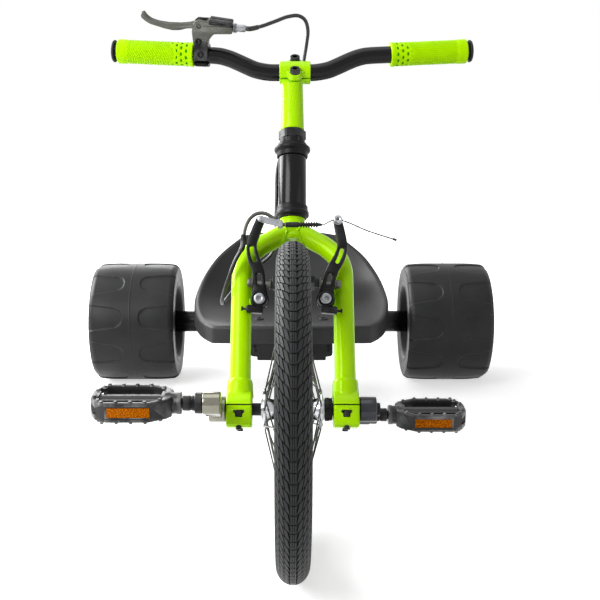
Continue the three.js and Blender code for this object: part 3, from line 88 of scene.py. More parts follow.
inYZ = Matrix(((0, 0, 1, 0), (1, 0, 0, 0), (0, 1, 0, 0), (0, 0, 0, 1)))  # its thickness towards +x
same = Matrix.Identity(4)


def clipped(share):
    return min(max(share, 0), 1)


def endPlace(side):
    bend = barPlace @ shift(side * trike["barEndX"], 0, trike["barEndZ"]) @ turn("X", trike["lean"])
    return bend @ turn("Y", -side * trike["barDrop"]) @ turn("Z", side * trike["barSweep"])


def gripPlace(side):
    return endPlace(side) @ turn("Z", 0 if side > 0 else 180)


perchEnd = endPlace(-1) @ shift(-trike["leverShift"], 0, 0)
leverPlace = perchEnd @ turn("X", trike["leverTurn"])


def armPlace(side):
    return steering @ shift(side * trike["brakeX"], 0, trike["brakeZ"]) @ turn("Y", trike["brakeTilt"])


def outwardTurn(side):
    return turn("Y", 0 if side > 0 else 180)


def crankPlace(side):
    return axlePlace @ turn("X", 0 if side > 0 else 180)


def pedalPlace(side):
    return crankPlace(side) @ shift(0, trike["crank"], 0) @ outwardTurn(side) @ turn("X", side * trike["lean"])


sides = {"left": 1, "right": -1}
ends = {"front": -1, "rear": 1}


def placed(name, data):
    # a new object in the scene
    fresh = bpy.data.objects.new(name, data)
    bpy.context.collection.objects.link(fresh)
    return fresh


def addNode(tree, kind, **values):
    # a new node, its settings and inputs given by name
    fresh = tree.nodes.new(kind)
    for key, value in values.items():
        if hasattr(fresh, key):
            setattr(fresh, key, value)
        else:
            fresh.inputs[key.replace("_", " ")].default_value = value
    return fresh


def wire(tree, *pairs):
    for start, end in pairs:
        tree.links.new(start, end)


def emptyTree(owner):
    owner.use_nodes = True
    owner.node_tree.nodes.clear()
    return owner.node_tree


# Camera
camera = {"place": (-0.005, -1.35025, 0.617), "tilt": 75, "lens": 57.0, "sensor": 36, "across": 0.01917}
cameraData = bpy.data.cameras.new("camera")
cameraData.lens = camera["lens"]
cameraData.sensor_width = camera["sensor"]
cameraData.shift_x = camera["across"]
cameraObject = placed("camera", cameraData)
cameraObject.location = camera["place"]
cameraObject.rotation_euler = (math.radians(camera["tilt"]), 0, 0)
bpy.context.scene.camera = cameraObject

# Light: soft boxes above the front left, at the right, overhead, at the left and behind
lamps = {
    "keyBox": {"place": (-1.5, -1.5, 1.7), "size": 1.3, "power": 50},
    "fillBox": {"place": (2.0, -1.3, 0.8), "size": 1.6, "power": 6},
    "topBox": {"place": (-0.3, 0, 2.3), "size": 1.6, "power": 12},
    "sideBox": {"place": (-2.0, 1.0, 1.2), "size": 1.4, "power": 88},
    "backBox": {"place": (-0.9, 2.5, 1.0), "size": 1.3, "power": 22},
}
studio = {"aim": (0, 0, 0.25), "ambient": 0.18, "floorColour": (0.8, 0.8, 0.8), "floorLift": 0.6,
          "floorSize": 9, "nearFloor": 0.9, "farFloor": 2.2}
for lampName, lamp in lamps.items():
    light = bpy.data.lights.new(lampName, "AREA")
    light.shape = "SQUARE"
    light.size = lamp["size"]
    light.energy = lamp["power"]
    lightObject = placed(lampName, light)
    lightObject.location = lamp["place"]
    aim = Vector(studio["aim"]) - Vector(lamp["place"])
    lightObject.rotation_euler = aim.to_track_quat("-Z", "Y").to_euler()

bpy.context.scene.view_settings.view_transform = "Standard"


def seenDirectly(tree):
    # 1 for the camera's rays and what shines or shows through, 0 for the rest
    path = addNode(tree, "ShaderNodeLightPath")
    last = path.outputs["Is Camera Ray"]
    for ray in ("Is Glossy Ray", "Is Transmission Ray"):
        larger = addNode(tree, "ShaderNodeMath", operation="MAXIMUM")
        wire(tree, (last, larger.inputs[0]), (path.outputs[ray], larger.inputs[1]))
        last = larger.outputs[0]
    return last


sky = bpy.context.scene.world or bpy.data.worlds.new("sky")
bpy.context.scene.world = sky
skyTree = emptyTree(sky)
skyMix = addNode(skyTree, "ShaderNodeMixShader")
for slotIndex, strength in ((1, studio["ambient"]), (2, 1.0)):
    back = addNode(skyTree, "ShaderNodeBackground", Color=(1, 1, 1, 1), Strength=strength)
    wire(skyTree, (back.outputs[0], skyMix.inputs[slotIndex]))
wire(skyTree, (seenDirectly(skyTree), skyMix.inputs[0]),
     (skyMix.outputs[0], addNode(skyTree, "ShaderNodeOutputWorld").inputs[0]))

reach = studio["floorSize"]
floorMesh = bpy.data.meshes.new("floor")
floorMesh.from_pydata([(-reach, -reach, 0), (reach, -reach, 0), (reach, reach, 0), (-reach, reach, 0)], [],
                      [(0, 1, 2, 3)])
floorObject = placed("floor", floorMesh)
floorLook = bpy.data.materials.new("floor")
floorTree = emptyTree(floorLook)
floorBase = addNode(floorTree, "ShaderNodeBsdfDiffuse", Color=(*studio["floorColour"], 1))
floorGlow = addNode(floorTree, "ShaderNodeEmission")
floorSum = addNode(floorTree, "ShaderNodeAddShader")
floorAway = addNode(floorTree, "ShaderNodeVectorMath", operation="LENGTH")
floorRise = addNode(floorTree, "ShaderNodeMapRange", From_Min=studio["nearFloor"], From_Max=studio["farFloor"],
                    To_Min=studio["floorLift"])
floorLift = addNode(floorTree, "ShaderNodeMath", operation="MULTIPLY")
wire(floorTree, (addNode(floorTree, "ShaderNodeTexCoord").outputs["Object"], floorAway.inputs[0]),
     (floorAway.outputs["Value"], floorRise.inputs["Value"]),
     (seenDirectly(floorTree), floorLift.inputs[0]),
     (floorRise.outputs["Result"], floorLift.inputs[1]),
     (floorLift.outputs[0], floorGlow.inputs["Strength"]),
     (floorBase.outputs[0], floorSum.inputs[0]),
     (floorGlow.outputs[0], floorSum.inputs[1]),
     (floorSum.outputs[0], addNode(floorTree, "ShaderNodeOutputMaterial").inputs[0]))
floorMesh.materials.append(floorLook)
print("camera, lamps and floor set")


# Finishes: a clouded colour, a grain that moves roughness and bump, lighter edges that are partly wear and
# partly painted highlight, and painted shade in grooves
def linear(code):
    # a colour code as linear red, green, blue and alpha
    parts = [int(code[i:i + 2], 16) / 255 for i in (1, 3, 5)]
    return (*[c / 12.92 if c <= 0.04045 else ((c + 0.055) / 1.055) ** 2.4 for c in parts], 1)


grading = {"coatRough": 0.06, "grainRough": 0.65, "cloudFrom": 0.35, "cloudTo": 0.68, "speckFrom": 0.55,
           "speckTo": 0.75, "edgeFrom": 0.53, "edgeTo": 0.62, "grainFrom": 0.3, "grainTo": 0.7}


def finishOf(name, look):
    made = bpy.data.materials.new(name)
    made.use_nodes = True
    made.diffuse_color = linear(look["colour"])
    tree = made.node_tree
    shader = tree.nodes["Principled BSDF"]
    tint = linear(look.get("tint", "#ffffff"))
    for socket, value in (("Metallic", look.get("metal", 0)), ("Coat Weight", look.get("coat", 0)),
                          ("Coat Tint", tint), ("Coat Roughness", grading["coatRough"]),
                          ("Specular IOR Level", look.get("gloss", 0.5)), ("Specular Tint", tint)):
        shader.inputs[socket].default_value = value

    def spread(source, part, low=0.0, high=1.0):
        # the source's values within that part's limits, spread from low to high
        node = addNode(tree, "ShaderNodeMapRange", From_Min=grading[part + "From"],
                       From_Max=grading[part + "To"], To_Min=low, To_Max=high)
        wire(tree, (source, node.inputs["Value"]))
        return node.outputs["Result"]

    def mixed(share, base, code):
        # the base under a second colour, by a share from 0 to 1
        node = addNode(tree, "ShaderNodeMix", data_type="RGBA")
        node.inputs[7].default_value = linear(code)
        wire(tree, (share, node.inputs[0]))
        if isinstance(base, str):
            node.inputs[6].default_value = linear(base)
        else:
            wire(tree, (base, node.inputs[6]))
        return node.outputs[2]

    place = addNode(tree, "ShaderNodeTexCoord")
    cloud = addNode(tree, "ShaderNodeTexNoise", Scale=look["cloud"], Detail=3.0)
    grain = addNode(tree, "ShaderNodeTexNoise", Scale=look["grain"], Detail=5.0,
                    Roughness=grading["grainRough"])
    for texture in (cloud, grain):
        wire(tree, (place.outputs["Object"], texture.inputs["Vector"]))
    share = spread(cloud.outputs["Fac"], "cloud")
    colour = mixed(share, look["colour"], look["shade"])
    if "speck" in look:  # fine light grains in the colour
        colour = mixed(spread(grain.outputs["Fac"], "speck", high=look.get("speckShare", 0.5)), colour,
                       look["speck"])
    if "groove" in look:  # painted shade in the deeper parts, from the piece's own depth attribute
        depth = addNode(tree, "ShaderNodeAttribute", attribute_name="depth")
        colour = mixed(depth.outputs["Fac"], colour, look["groove"])
    if "edgeWearAndHighlight" in look:  # lighter edges, in patches: rubbed edges on the metals and the black paint, a painted edge highlight on the green paint and the wheel and pedal plastics
        edge = addNode(tree, "ShaderNodeNewGeometry").outputs["Pointiness"]
        patchy = addNode(tree, "ShaderNodeMath", operation="MULTIPLY")
        wire(tree, (spread(edge, "edge", high=look.get("edgeWearAndHighlightShare", 0.35)), patchy.inputs[0]),
             (share, patchy.inputs[1]))
        colour = mixed(patchy.outputs[0], colour, look["edgeWearAndHighlight"])
    bump = addNode(tree, "ShaderNodeBump", Strength=look["bump"], Distance=look.get("bumpDepth", 0.0002))
    height = grain.outputs["Fac"]
    if "cells" in look:  # moulded cells, as in a reflector
        cells = addNode(tree, "ShaderNodeTexVoronoi", Scale=look["cells"])
        wire(tree, (place.outputs["Object"], cells.inputs["Vector"]))
        height = cells.outputs["Distance"]
    wire(tree, (colour, shader.inputs["Base Color"]), (height, bump.inputs["Height"]),
         (spread(grain.outputs["Fac"], "grain", *look["rough"]), shader.inputs["Roughness"]),
         (bump.outputs["Normal"], shader.inputs["Normal"]))
    return made


looks = {
    # the pale green that the green paint takes on its edges is a painted highlight
    "greenPaint": {"slot": "green_paint", "colour": "#b6ec00", "shade": "#ade600", "rough": (0.2, 0.28),
                   "coat": 0.12, "cloud": 18, "tint": "#d8ff50", "grain": 500, "bump": 0.05, "edgeWearAndHighlight": "#c8f27a",
                   "edgeWearAndHighlightShare": 0.2, "gloss": 0.25},
    "blackPaint": {"slot": "black_paint", "colour": "#070708", "shade": "#0a0a0c", "rough": (0.16, 0.24),
                   "cloud": 20, "gloss": 0.2, "grain": 500, "bump": 0.06, "edgeWearAndHighlight": "#3a3a3c", "edgeWearAndHighlightShare": 0.2},
    "blackSteel": {"slot": "black_steel", "colour": "#0e0e10", "shade": "#151517", "rough": (0.32, 0.45),
                   "metal": 0.35, "cloud": 60, "gloss": 0.2, "grain": 900, "bump": 0.12, "edgeWearAndHighlight": "#6a6a6c"},
    "blackAlloy": {"slot": "black_alloy", "colour": "#0b0b0c", "shade": "#111113", "rough": (0.26, 0.4),
                   "metal": 0.2, "cloud": 50, "gloss": 0.2, "grain": 1200, "bump": 0.1, "edgeWearAndHighlight": "#8a8a8c",
                   "edgeWearAndHighlightShare": 0.5},
    "darkAlloy": {"slot": "dark_alloy", "colour": "#5a5a54", "shade": "#494945", "rough": (0.34, 0.5),
                  "metal": 0.75, "cloud": 45, "grain": 1300, "bump": 0.25, "edgeWearAndHighlight": "#9a9a94"},
    "steel": {"slot": "steel", "colour": "#9b9da1", "shade": "#85878b", "rough": (0.25, 0.42), "metal": 0.95,
              "cloud": 60, "grain": 1100, "bump": 0.12, "edgeWearAndHighlight": "#c8c8ca"},
    "chrome": {"slot": "chrome", "colour": "#c2c3c6", "shade": "#a9aaaf", "rough": (0.08, 0.16), "metal": 1.0,
               "cloud": 30, "grain": 700, "bump": 0.04},
    # one crank chrome in two painted tones: the right arm's copy lighter, with an olive painted reflection of
    # the green parts, the left arm's copy darker with painted shade
    "crankPaintedLight": {"slot": "chrome", "colour": "#868378", "shade": "#6c6d60", "rough": (0.1, 0.2),
                    "metal": 1.0, "cloud": 35, "grain": 800, "bump": 0.08, "edgeWearAndHighlight": "#b8babd"},
    "crankPaintedShade": {"slot": "chrome", "colour": "#303134", "shade": "#3a3b3e", "rough": (0.16, 0.28),
                  "metal": 0.9, "cloud": 35, "grain": 800, "bump": 0.08, "edgeWearAndHighlight": "#85878a"},
    "seatPlastic": {"slot": "seat_plastic", "colour": "#0c0c0d", "shade": "#121213", "rough": (0.42, 0.54),
                    "cloud": 12, "grain": 1800, "gloss": 0.36, "bump": 0.5, "bumpDepth": 0.0003,
                    "speck": "#303032", "speckShare": 0.3},
    # the light grey that the wheel plastic takes on its moulded edges is a painted highlight
    "wheelPlastic": {"slot": "wheel_plastic", "colour": "#161617", "shade": "#1f1f20", "rough": (0.36, 0.5),
                     "cloud": 22, "grain": 1500, "gloss": 0.22, "bump": 0.35, "bumpDepth": 0.0003,
                     "speck": "#3c3c3d", "speckShare": 0.4, "edgeWearAndHighlight": "#a6a6a4", "edgeWearAndHighlightShare": 0.8},
    # the light grey that the pedal plastic takes on its cage edges is a painted highlight
    "pedalPlastic": {"slot": "pedal_plastic", "colour": "#151516", "shade": "#1e1e1f", "rough": (0.26, 0.4),
                     "cloud": 50, "grain": 1500, "gloss": 0.38, "bump": 0.2, "speck": "#303031",
                     "edgeWearAndHighlight": "#c0c0c0", "edgeWearAndHighlightShare": 0.9},
    # the dark green that the grip rubber takes in its grooves is painted shade
    "greenRubber": {"slot": "green_rubber", "colour": "#b8f200", "shade": "#aee800", "rough": (0.5, 0.66),
                    "cloud": 60, "grain": 1600, "bump": 0.2, "groove": "#2a9000", "gloss": 0.25,
                    "tint": "#d8ff50"},
    "blackRubber": {"slot": "black_rubber", "colour": "#0f0f10", "shade": "#161617", "rough": (0.5, 0.7),
                    "cloud": 60, "grain": 1300, "gloss": 0.3, "bump": 0.3},
    "cableSheath": {"slot": "black_rubber", "colour": "#0a0a0b", "shade": "#101011", "rough": (0.25, 0.36),
                    "cloud": 50, "grain": 900, "bump": 0.08, "coat": 0.2, "gloss": 0.35},
    # the near-black that the tyre rubber takes in its tread grooves is painted shade
    "tyreRubber": {"slot": "tyre_rubber", "colour": "#232425", "shade": "#1a1b1c", "rough": (0.42, 0.58),
                   "cloud": 70, "grain": 1400, "gloss": 0.24, "bump": 0.45, "bumpDepth": 0.0003,
                   "speck": "#444546", "groove": "#010101"},
    "amber": {"slot": "amber_reflector", "colour": "#d67600", "shade": "#5e1e00", "rough": (0.14, 0.26),
              "cloud": 900, "grain": 1200, "gloss": 0.2, "bump": 0.8, "bumpDepth": 0.0012, "cells": 480,
              "tint": "#ffa020"},
    "spokeSteel": {"slot": "chrome", "colour": "#4e504b", "shade": "#3c3e38", "rough": (0.16, 0.28),
                   "metal": 0.95, "cloud": 60, "grain": 900, "bump": 0.06},
}
finishes = {name: finishOf(name, look) for name, look in looks.items()}
print("finishes made:", len(finishes))


# Mesh making: everything is added to an open bmesh in its own frame's millimetres
def skin(bm, rings, along=False, place=same):
    # faces between closed rings of points, with end caps, or the last ring joined to the first
    rows = [[bm.verts.new(place @ Vector(p)) for p in ring] for ring in rings]
    count = len(rows[0])
    for i in range(len(rows) if along else len(rows) - 1):
        a, b = rows[i], rows[(i + 1) % len(rows)]
        for j in range(count):
            k = (j + 1) % count
            bm.faces.new((a[j], a[k], b[k], b[j]))
    if not along:
        bm.faces.new(rows[0][::-1])
        bm.faces.new(rows[-1])


def circle(radius, height, count):
    return [(radius * math.cos(a), radius * math.sin(a), height)
            for a in (math.tau * j / count for j in range(count))]


corners = {"share": 0.45, "straight": -0.97, "shortest": 1e-4}


def softened(points, radius, closed=True, steps=3):
    # rounds every corner of an outline
    count, result = len(points), []
    for i in range(count):
        here = Vector(points[i][:2])
        if not closed and i in (0, count - 1):
            result.append(tuple(here))
            continue
        before, after = Vector(points[i - 1][:2]), Vector(points[(i + 1) % count][:2])
        toBefore, toAfter = before - here, after - here
        size = min(radius, corners["share"] * toBefore.length, corners["share"] * toAfter.length)
        if size < corners["shortest"] or toBefore.normalized().dot(toAfter.normalized()) < corners["straight"]:
            result.append(tuple(here))
            continue
        start, end = here + toBefore.normalized() * size, here + toAfter.normalized() * size
        for step in range(steps + 1):
            t = step / steps
            result.append(tuple(start * (1 - t) ** 2 + here * 2 * t * (1 - t) + end * t * t))
    return result


def revolve(bm, profile, count=48, place=same, soft=0.0):
    # profile of (radius, height); it is closed if it comes back to its first point
    closed = profile[0] == profile[-1]
    line = profile[:-1] if closed else profile
    if soft:
        line = softened(line, soft, closed)
    rows = [[bm.verts.new(place @ Vector(p)) for p in (circle(r, h, count) if r > 1e-6 else [(0, 0, h)])]
            for r, h in line]
    for i in range(len(rows) if closed else len(rows) - 1):
        a, b = rows[i], rows[(i + 1) % len(rows)]
        for j in range(count):
            k = (j + 1) % count
            if len(a) == 1 and len(b) == 1:
                break
            if len(a) == 1:
                bm.faces.new((a[0], b[k], b[j]))
            elif len(b) == 1:
                bm.faces.new((a[j], a[k], b[0]))
            else:
                bm.faces.new((a[j], a[k], b[k], b[j]))


def closedLine(profile):
    return [*profile, profile[0]]


def bothHalves(half):
    # a closed profile from the half of it that lies at +x
    return closedLine(half + [(r, -x) for r, x in half[::-1]])


def rod(bm, radius, low, high, count=32, place=same, soft=0.4):
    revolve(bm, [(0, low), (radius, low), (radius, high), (0, high)], count, place, soft)


def washer(bm, bore, radius, low, high, count, place, soft=0.3):
    revolve(bm, closedLine([(bore, low), (radius, low), (radius, high), (bore, high)]), count, place, soft)


def arcOf(radius, first, last, count, x=0, y=0):
    # an arc about a centre, between two angles
    return [(x + radius * math.cos(a), y + radius * math.sin(a)) for a in np.linspace(first, last, count)]


def hexagon(bm, radius, low, high, place=same, bore=0.0, soft=0.5):
    # a six-sided nut, its corners turned down, with a bore
    loop = softened([point[:2] for point in circle(radius, 0, 6)], radius * 0.12, steps=2)
    inner = [(x * 0.93, y * 0.93) for x, y in loop]
    hole = [(bore * math.cos(a), bore * math.sin(a)) for a in (math.atan2(y, x) for x, y in loop)]
    layers = ((inner, low), (loop, low + soft), (loop, high - soft), (inner, high), (hole, high), (hole, low))
    skin(bm, [[(x, y, z) for x, y in ring] for ring, z in layers], along=True, place=place)


def curveOf(points):
    # a smooth line through the points, as a function of the share of points passed
    p = [np.array(q, float) for q in points]
    p = [2 * p[0] - p[1], *p, 2 * p[-1] - p[-2]]

    def at(share):
        spot = clipped(share) * (len(p) - 3)
        i = min(int(spot), len(p) - 4)
        t = spot - i
        a, b, c, d = p[i:i + 4]
        ta, tb, tc = [max(np.linalg.norm(v - u), 1e-6) ** 0.5 for u, v in ((a, b), (b, c), (c, d))]
        ma = ((b - a) / ta - (c - a) / (ta + tb) + (c - b) / tb) * tb
        mb = ((c - b) / tb - (d - b) / (tb + tc) + (d - c) / tc) * tb
        return ((2 * t**3 - 3 * t**2 + 1) * b + (t**3 - 2 * t**2 + t) * ma
                + (3 * t**2 - 2 * t**3) * c + (t**3 - t**2) * mb)
    return at


def splineThrough(points, count):
    # the same line as count + 1 evenly spaced points
    line = curveOf(points)
    dense = np.array([line(share) for share in np.linspace(0, 1, 24 * len(points))])
    lengths = np.r_[0, np.cumsum(np.linalg.norm(np.diff(dense, axis=0), axis=1))]
    spots = np.linspace(0, lengths[-1], count + 1)
    return [Vector([np.interp(s, lengths, dense[:, k]) for k in range(3)]) for s in spots]


def framesAlong(path):
    # for each point of the path: the point and two directions across it
    along = [(path[min(i + 1, len(path) - 1)] - path[max(i - 1, 0)]).normalized() for i in range(len(path))]
    side = along[0].orthogonal().normalized()
    frames = []
    for point, ahead in zip(path, along):
        side = (side - ahead * side.dot(ahead)).normalized()
        frames.append((point, side, ahead.cross(side)))
    return frames


def sweep(bm, path, radius, count=24, place=same):
    # a round bar along the path; radius may be one number or one for each point
    path = [Vector(q) for q in path]
    radii = radius if isinstance(radius, (list, tuple)) else [radius] * len(path)
    angles = [math.tau * j / count for j in range(count)]
    skin(bm, [[point + side * r * math.cos(a) + up * r * math.sin(a) for a in angles]
              for (point, side, up), r in zip(framesAlong(path), radii)], place=place)


def meetingRing(path, radius, outside, count=56):
    # the ring of points where a bar along the path comes out of another body
    frames = framesAlong([Vector(q) for q in path])
    ring = []
    for a in (math.tau * j / count for j in range(count)):
        spots = [point + side * radius * math.cos(a) + up * radius * math.sin(a) for point, side, up in frames]
        last = max([i for i, spot in enumerate(spots) if not outside(spot)], default=0)
        ring.append(spots[min(last + 1, len(spots) - 1)])
    return ring


def weldBead(bm, ring, size, seed):
    # a rippled bead laid along a closed ring of points
    choice = random.Random(seed)
    count = len(ring)
    middle = sum(ring, Vector()) / count
    rows = []
    for k, point in enumerate(ring):
        out = (point - middle).normalized()
        ahead = (ring[(k + 1) % count] - ring[k - 1]).normalized()
        up = out.cross(ahead).normalized()
        r = size * (0.86 + 0.14 * math.cos(k * 2.1) + choice.uniform(-0.05, 0.05))
        rows.append([point + out * r * math.cos(a) + up * r * math.sin(a)
                     for a in [math.tau * j / 8 for j in range(8)]])
    skin(bm, rows, along=True)


def outward(bm):
    bmesh.ops.recalc_face_normals(bm, faces=bm.faces)


def meshOf(bm, name):
    mesh = bpy.data.meshes.new(name)
    bm.to_mesh(mesh)
    bm.free()
    return mesh


def evaluated(holder):
    # the object's mesh with its modifiers applied
    bpy.context.view_layer.update()
    return bpy.data.meshes.new_from_object(holder.evaluated_get(bpy.context.evaluated_depsgraph_get()))


def addMesh(bm, mesh, place=same):
    mesh.transform(place)
    bm.from_mesh(mesh)
    bpy.data.meshes.remove(mesh)


def plate(bm, outline, low, high, place=same, holes=(), bevel=0.5):
    # a flat outline with holes, given a thickness and rounded edges
    curve = bpy.data.curves.new("plate", "CURVE")
    curve.dimensions = "2D"
    curve.fill_mode = "BOTH"
    curve.extrude = (high - low) / 2 - bevel
    curve.bevel_depth = bevel
    curve.bevel_resolution = 1
    curve.offset = -bevel
    for loop in (outline, *holes):
        spline = curve.splines.new("POLY")
        spline.points.add(len(loop) - 1)
        for point, place2d in zip(spline.points, loop):
            point.co = (place2d[0], place2d[1], 0, 1)
        spline.use_cyclic_u = True
    holder = placed("plate", curve)
    mesh = evaluated(holder)
    bpy.data.objects.remove(holder)
    bpy.data.curves.remove(curve)
    part = bmesh.new()
    addMesh(part, mesh, place @ shift(0, 0, (low + high) / 2))
    bmesh.ops.remove_doubles(part, verts=part.verts, dist=0.002)
    outward(part)
    addMesh(bm, meshOf(part, "plate"))


def box(bm, x0, x1, y0, y1, z0, z1, place=same, bevel=0.8):
    def loop(inset, radius):
        a0, a1, b0, b1 = x0 + inset, x1 - inset, y0 + inset, y1 - inset
        return softened([(a0, b0), (a1, b0), (a1, b1), (a0, b1)], radius)

    outer, inner = loop(0, bevel), loop(bevel, bevel * 0.3)
    layers = [(inner, z0), (outer, z0 + bevel), (outer, z1 - bevel), (inner, z1)]
    skin(bm, [[(x, y, z) for x, y in loop] for loop, z in layers], place=place)


def turnAbout(x, z, degrees):
    # a turn in the x-z plane about one point
    return shift(x, 0, z) @ turn("Y", degrees) @ shift(-x, 0, -z)


def combined(base, tool, way):
    # joins, cuts or keeps the overlap of two closed shapes
    holders = []
    for bm in (base, tool):
        outward(bm)
        holders.append(placed("shape", meshOf(bm, "shape")))
    step = holders[0].modifiers.new("combine", "BOOLEAN")
    step.operation = way
    step.solver = "EXACT"
    step.object = holders[1]
    result = bmesh.new()
    addMesh(result, evaluated(holders[0]))
    for holder in holders:
        old = holder.data
        bpy.data.objects.remove(holder)
        bpy.data.meshes.remove(old)
    return result


def joined(whole, *others):
    for other in others:
        whole = combined(whole, other, "UNION")
    return whole


def cutFrom(whole, *tools):
    for tool in tools:
        whole = combined(whole, tool, "DIFFERENCE")
    return whole


def shape(maker, *values, **named):
    bm = bmesh.new()
    maker(bm, *values, **named)
    return bm


def pieceFrom(bm, name, place, body, finish, *nodes, sharp=38, fix=True):
    # an open bmesh in millimetres becomes a piece at its place
    if fix:
        outward(bm)
    mesh = meshOf(bm, name)
    mesh.transform(place)
    return settled(mesh, name, body, finish, *nodes, sharp=sharp)


def settled(mesh, name, body, finish, *nodes, sharp=38):
    # a finished mesh in metres becomes a piece on its body
    mesh.polygons.foreach_set("use_smooth", [True] * len(mesh.polygons))
    mesh.set_sharp_from_angle(angle=math.radians(sharp))
    mesh.materials.clear()
    mesh.materials.append(finishes[finish])
    piece = placed(name, mesh)
    if isinstance(body, tuple):  # two bodies and two points: the piece is only baked in place, on neither body
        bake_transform(piece)
    else:
        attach(piece, body)
    if nodes:
        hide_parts(*nodes)
    return piece


# Node trees for what repeats
def copiesTree(name, inputs, build):
    # puts the pattern on the points and angles that build gives, made real and with its finish
    tree = bpy.data.node_groups.new(name, "GeometryNodeTree")
    tree.is_modifier = True
    tree.interface.new_socket("Geometry", in_out="OUTPUT", socket_type="NodeSocketGeometry")
    for label, kind in (("Geometry", "Geometry"), *inputs, ("Finish", "Material")):
        tree.interface.new_socket(label, in_out="INPUT", socket_type="NodeSocket" + kind)
    start, out = addNode(tree, "NodeGroupInput"), addNode(tree, "NodeGroupOutput")
    points, angles = build(tree, start.outputs)
    copies, real, paint = [addNode(tree, "GeometryNode" + kind)
                           for kind in ("InstanceOnPoints", "RealizeInstances", "SetMaterial")]
    wire(tree, (points, copies.inputs["Points"]), (start.outputs["Geometry"], copies.inputs["Instance"]),
         (angles, copies.inputs["Rotation"]), (copies.outputs[0], real.inputs[0]),
         (real.outputs[0], paint.inputs["Geometry"]), (start.outputs["Finish"], paint.inputs["Material"]),
         (paint.outputs[0], out.inputs[0]))
    return tree


def ringPoints(tree, inputs):
    # Count points, turned evenly round the x axis
    points = addNode(tree, "GeometryNodePoints")
    share = addNode(tree, "ShaderNodeMath", operation="DIVIDE")
    angle = addNode(tree, "ShaderNodeMath", operation="MULTIPLY")
    angle.inputs[1].default_value = math.tau
    turned = addNode(tree, "ShaderNodeCombineXYZ")
    wire(tree, (inputs["Count"], points.inputs["Count"]),
         (addNode(tree, "GeometryNodeInputIndex").outputs[0], share.inputs[0]),
         (inputs["Count"], share.inputs[1]), (share.outputs[0], angle.inputs[0]),
         (angle.outputs[0], turned.inputs["X"]))
    return points.outputs[0], turned.outputs[0]


def spotPoints(tree, inputs):
    # the points of the spots, turned by each spot's own angles
    spots = addNode(tree, "GeometryNodeObjectInfo")
    angles = addNode(tree, "GeometryNodeInputNamedAttribute", data_type="FLOAT_VECTOR", Name="angles")
    wire(tree, (inputs["Spots"], spots.inputs["Object"]))
    return spots.outputs["Geometry"], angles.outputs["Attribute"]


trees = {"ring": copiesTree("ringOfCopies", [("Count", "Int")], ringPoints),
         "spots": copiesTree("copiesOnSpots", [("Spots", "Object")], spotPoints)}


def repeated(bm, kind, finish, **inputs):
    # runs a tree on the pattern and gives back a plain mesh
    outward(bm)
    mesh = meshOf(bm, "pattern")
    holder = placed("pattern", mesh)
    step = holder.modifiers.new("repeat", "NODES")
    step.node_group = trees[kind]
    inputs["Finish"] = finishes[finish]
    for item in trees[kind].interface.items_tree:
        if item.in_out == "INPUT" and item.name in inputs:
            step[item.identifier] = inputs[item.name]
    result = evaluated(holder)
    holder.modifiers.clear()
    bpy.data.objects.remove(holder)
    bpy.data.meshes.remove(mesh)
    return result


def onSpots(bm, finish, spots):
    # spots are places, each a matrix in the pattern's own units
    mesh = bpy.data.meshes.new("spots")
    mesh.from_pydata([tuple(spot.translation) for spot in spots], [], [])
    angles = mesh.attributes.new("angles", "FLOAT_VECTOR", "POINT")
    for item, spot in zip(angles.data, spots):
        item.vector = spot.to_euler()
    holder = placed("spots", mesh)
    result = repeated(bm, "spots", finish, Spots=holder)
    bpy.data.objects.remove(holder)
    bpy.data.meshes.remove(mesh)
    return result


def addDepth(mesh, values):
    # how far each point lies below the surface, from 0 to 1, for the painted shade in the grooves
    layer = mesh.attributes.get("depth") or mesh.attributes.new("depth", "FLOAT", "POINT")
    layer.data.foreach_set("value", np.array(values, np.float32))


print("helpers ready")


# Front tyre: a round carcass under herringbone tread blocks
tyre = {"middle": 178.5, "halfWidth": 19.5, "rise": 21.5, "pitches": 105, "depth": 2.0, "slit": 1.15,
        "lift": 15.0, "slant": 3.0, "edge": 0.35, "treadHalf": 25.6, "around": 192, "samples": 180,
        "grooveFrom": 0.5, "grooveOver": 0.9, "crownFrom": 6,
        "bead": ((11.3, 152.9), (11.3, 158.8), (13.7, 159.6), (15.6, 162.5), (17.2, 166), (18.1, 168.2),
                 (18.7, 168.9), (19.0, 170.8), (18.8, 171.6), (19.2, 174.5)),
        "centreRibs": ((-3.3, -1.35), (-0.95, 0.95), (1.35, 3.3)),
        "sideRows": ((4.9, 10.2), (11.2, 16.2), (17.2, 21.6), (22.6, 25.2))}
tyreAngles = np.linspace(0, math.pi / 2, tyre["samples"] + 1)
tyreTable = [(tyre["halfWidth"] * math.sin(phi), tyre["rise"] * math.cos(phi)) for phi in tyreAngles]
tyreArcs = np.r_[0, np.cumsum([math.dist(a, b) for a, b in zip(tyreTable, tyreTable[1:])])]


def onTyre(arc, height):
    # a point of the tyre's section: arc runs over the crown from its middle, height stands off it
    phi = float(np.interp(abs(arc), tyreArcs, tyreAngles))
    x, r = tyre["halfWidth"] * math.sin(phi), tyre["middle"] + tyre["rise"] * math.cos(phi)
    out = Vector((math.sin(phi) / tyre["halfWidth"], math.cos(phi) / tyre["rise"])).normalized()
    return math.copysign(x + out.x * height, arc), r + out.y * height


def treadLift(arc):
    return tyre["lift"] * (max(abs(arc) - 3, 0) / 16) ** 1.1


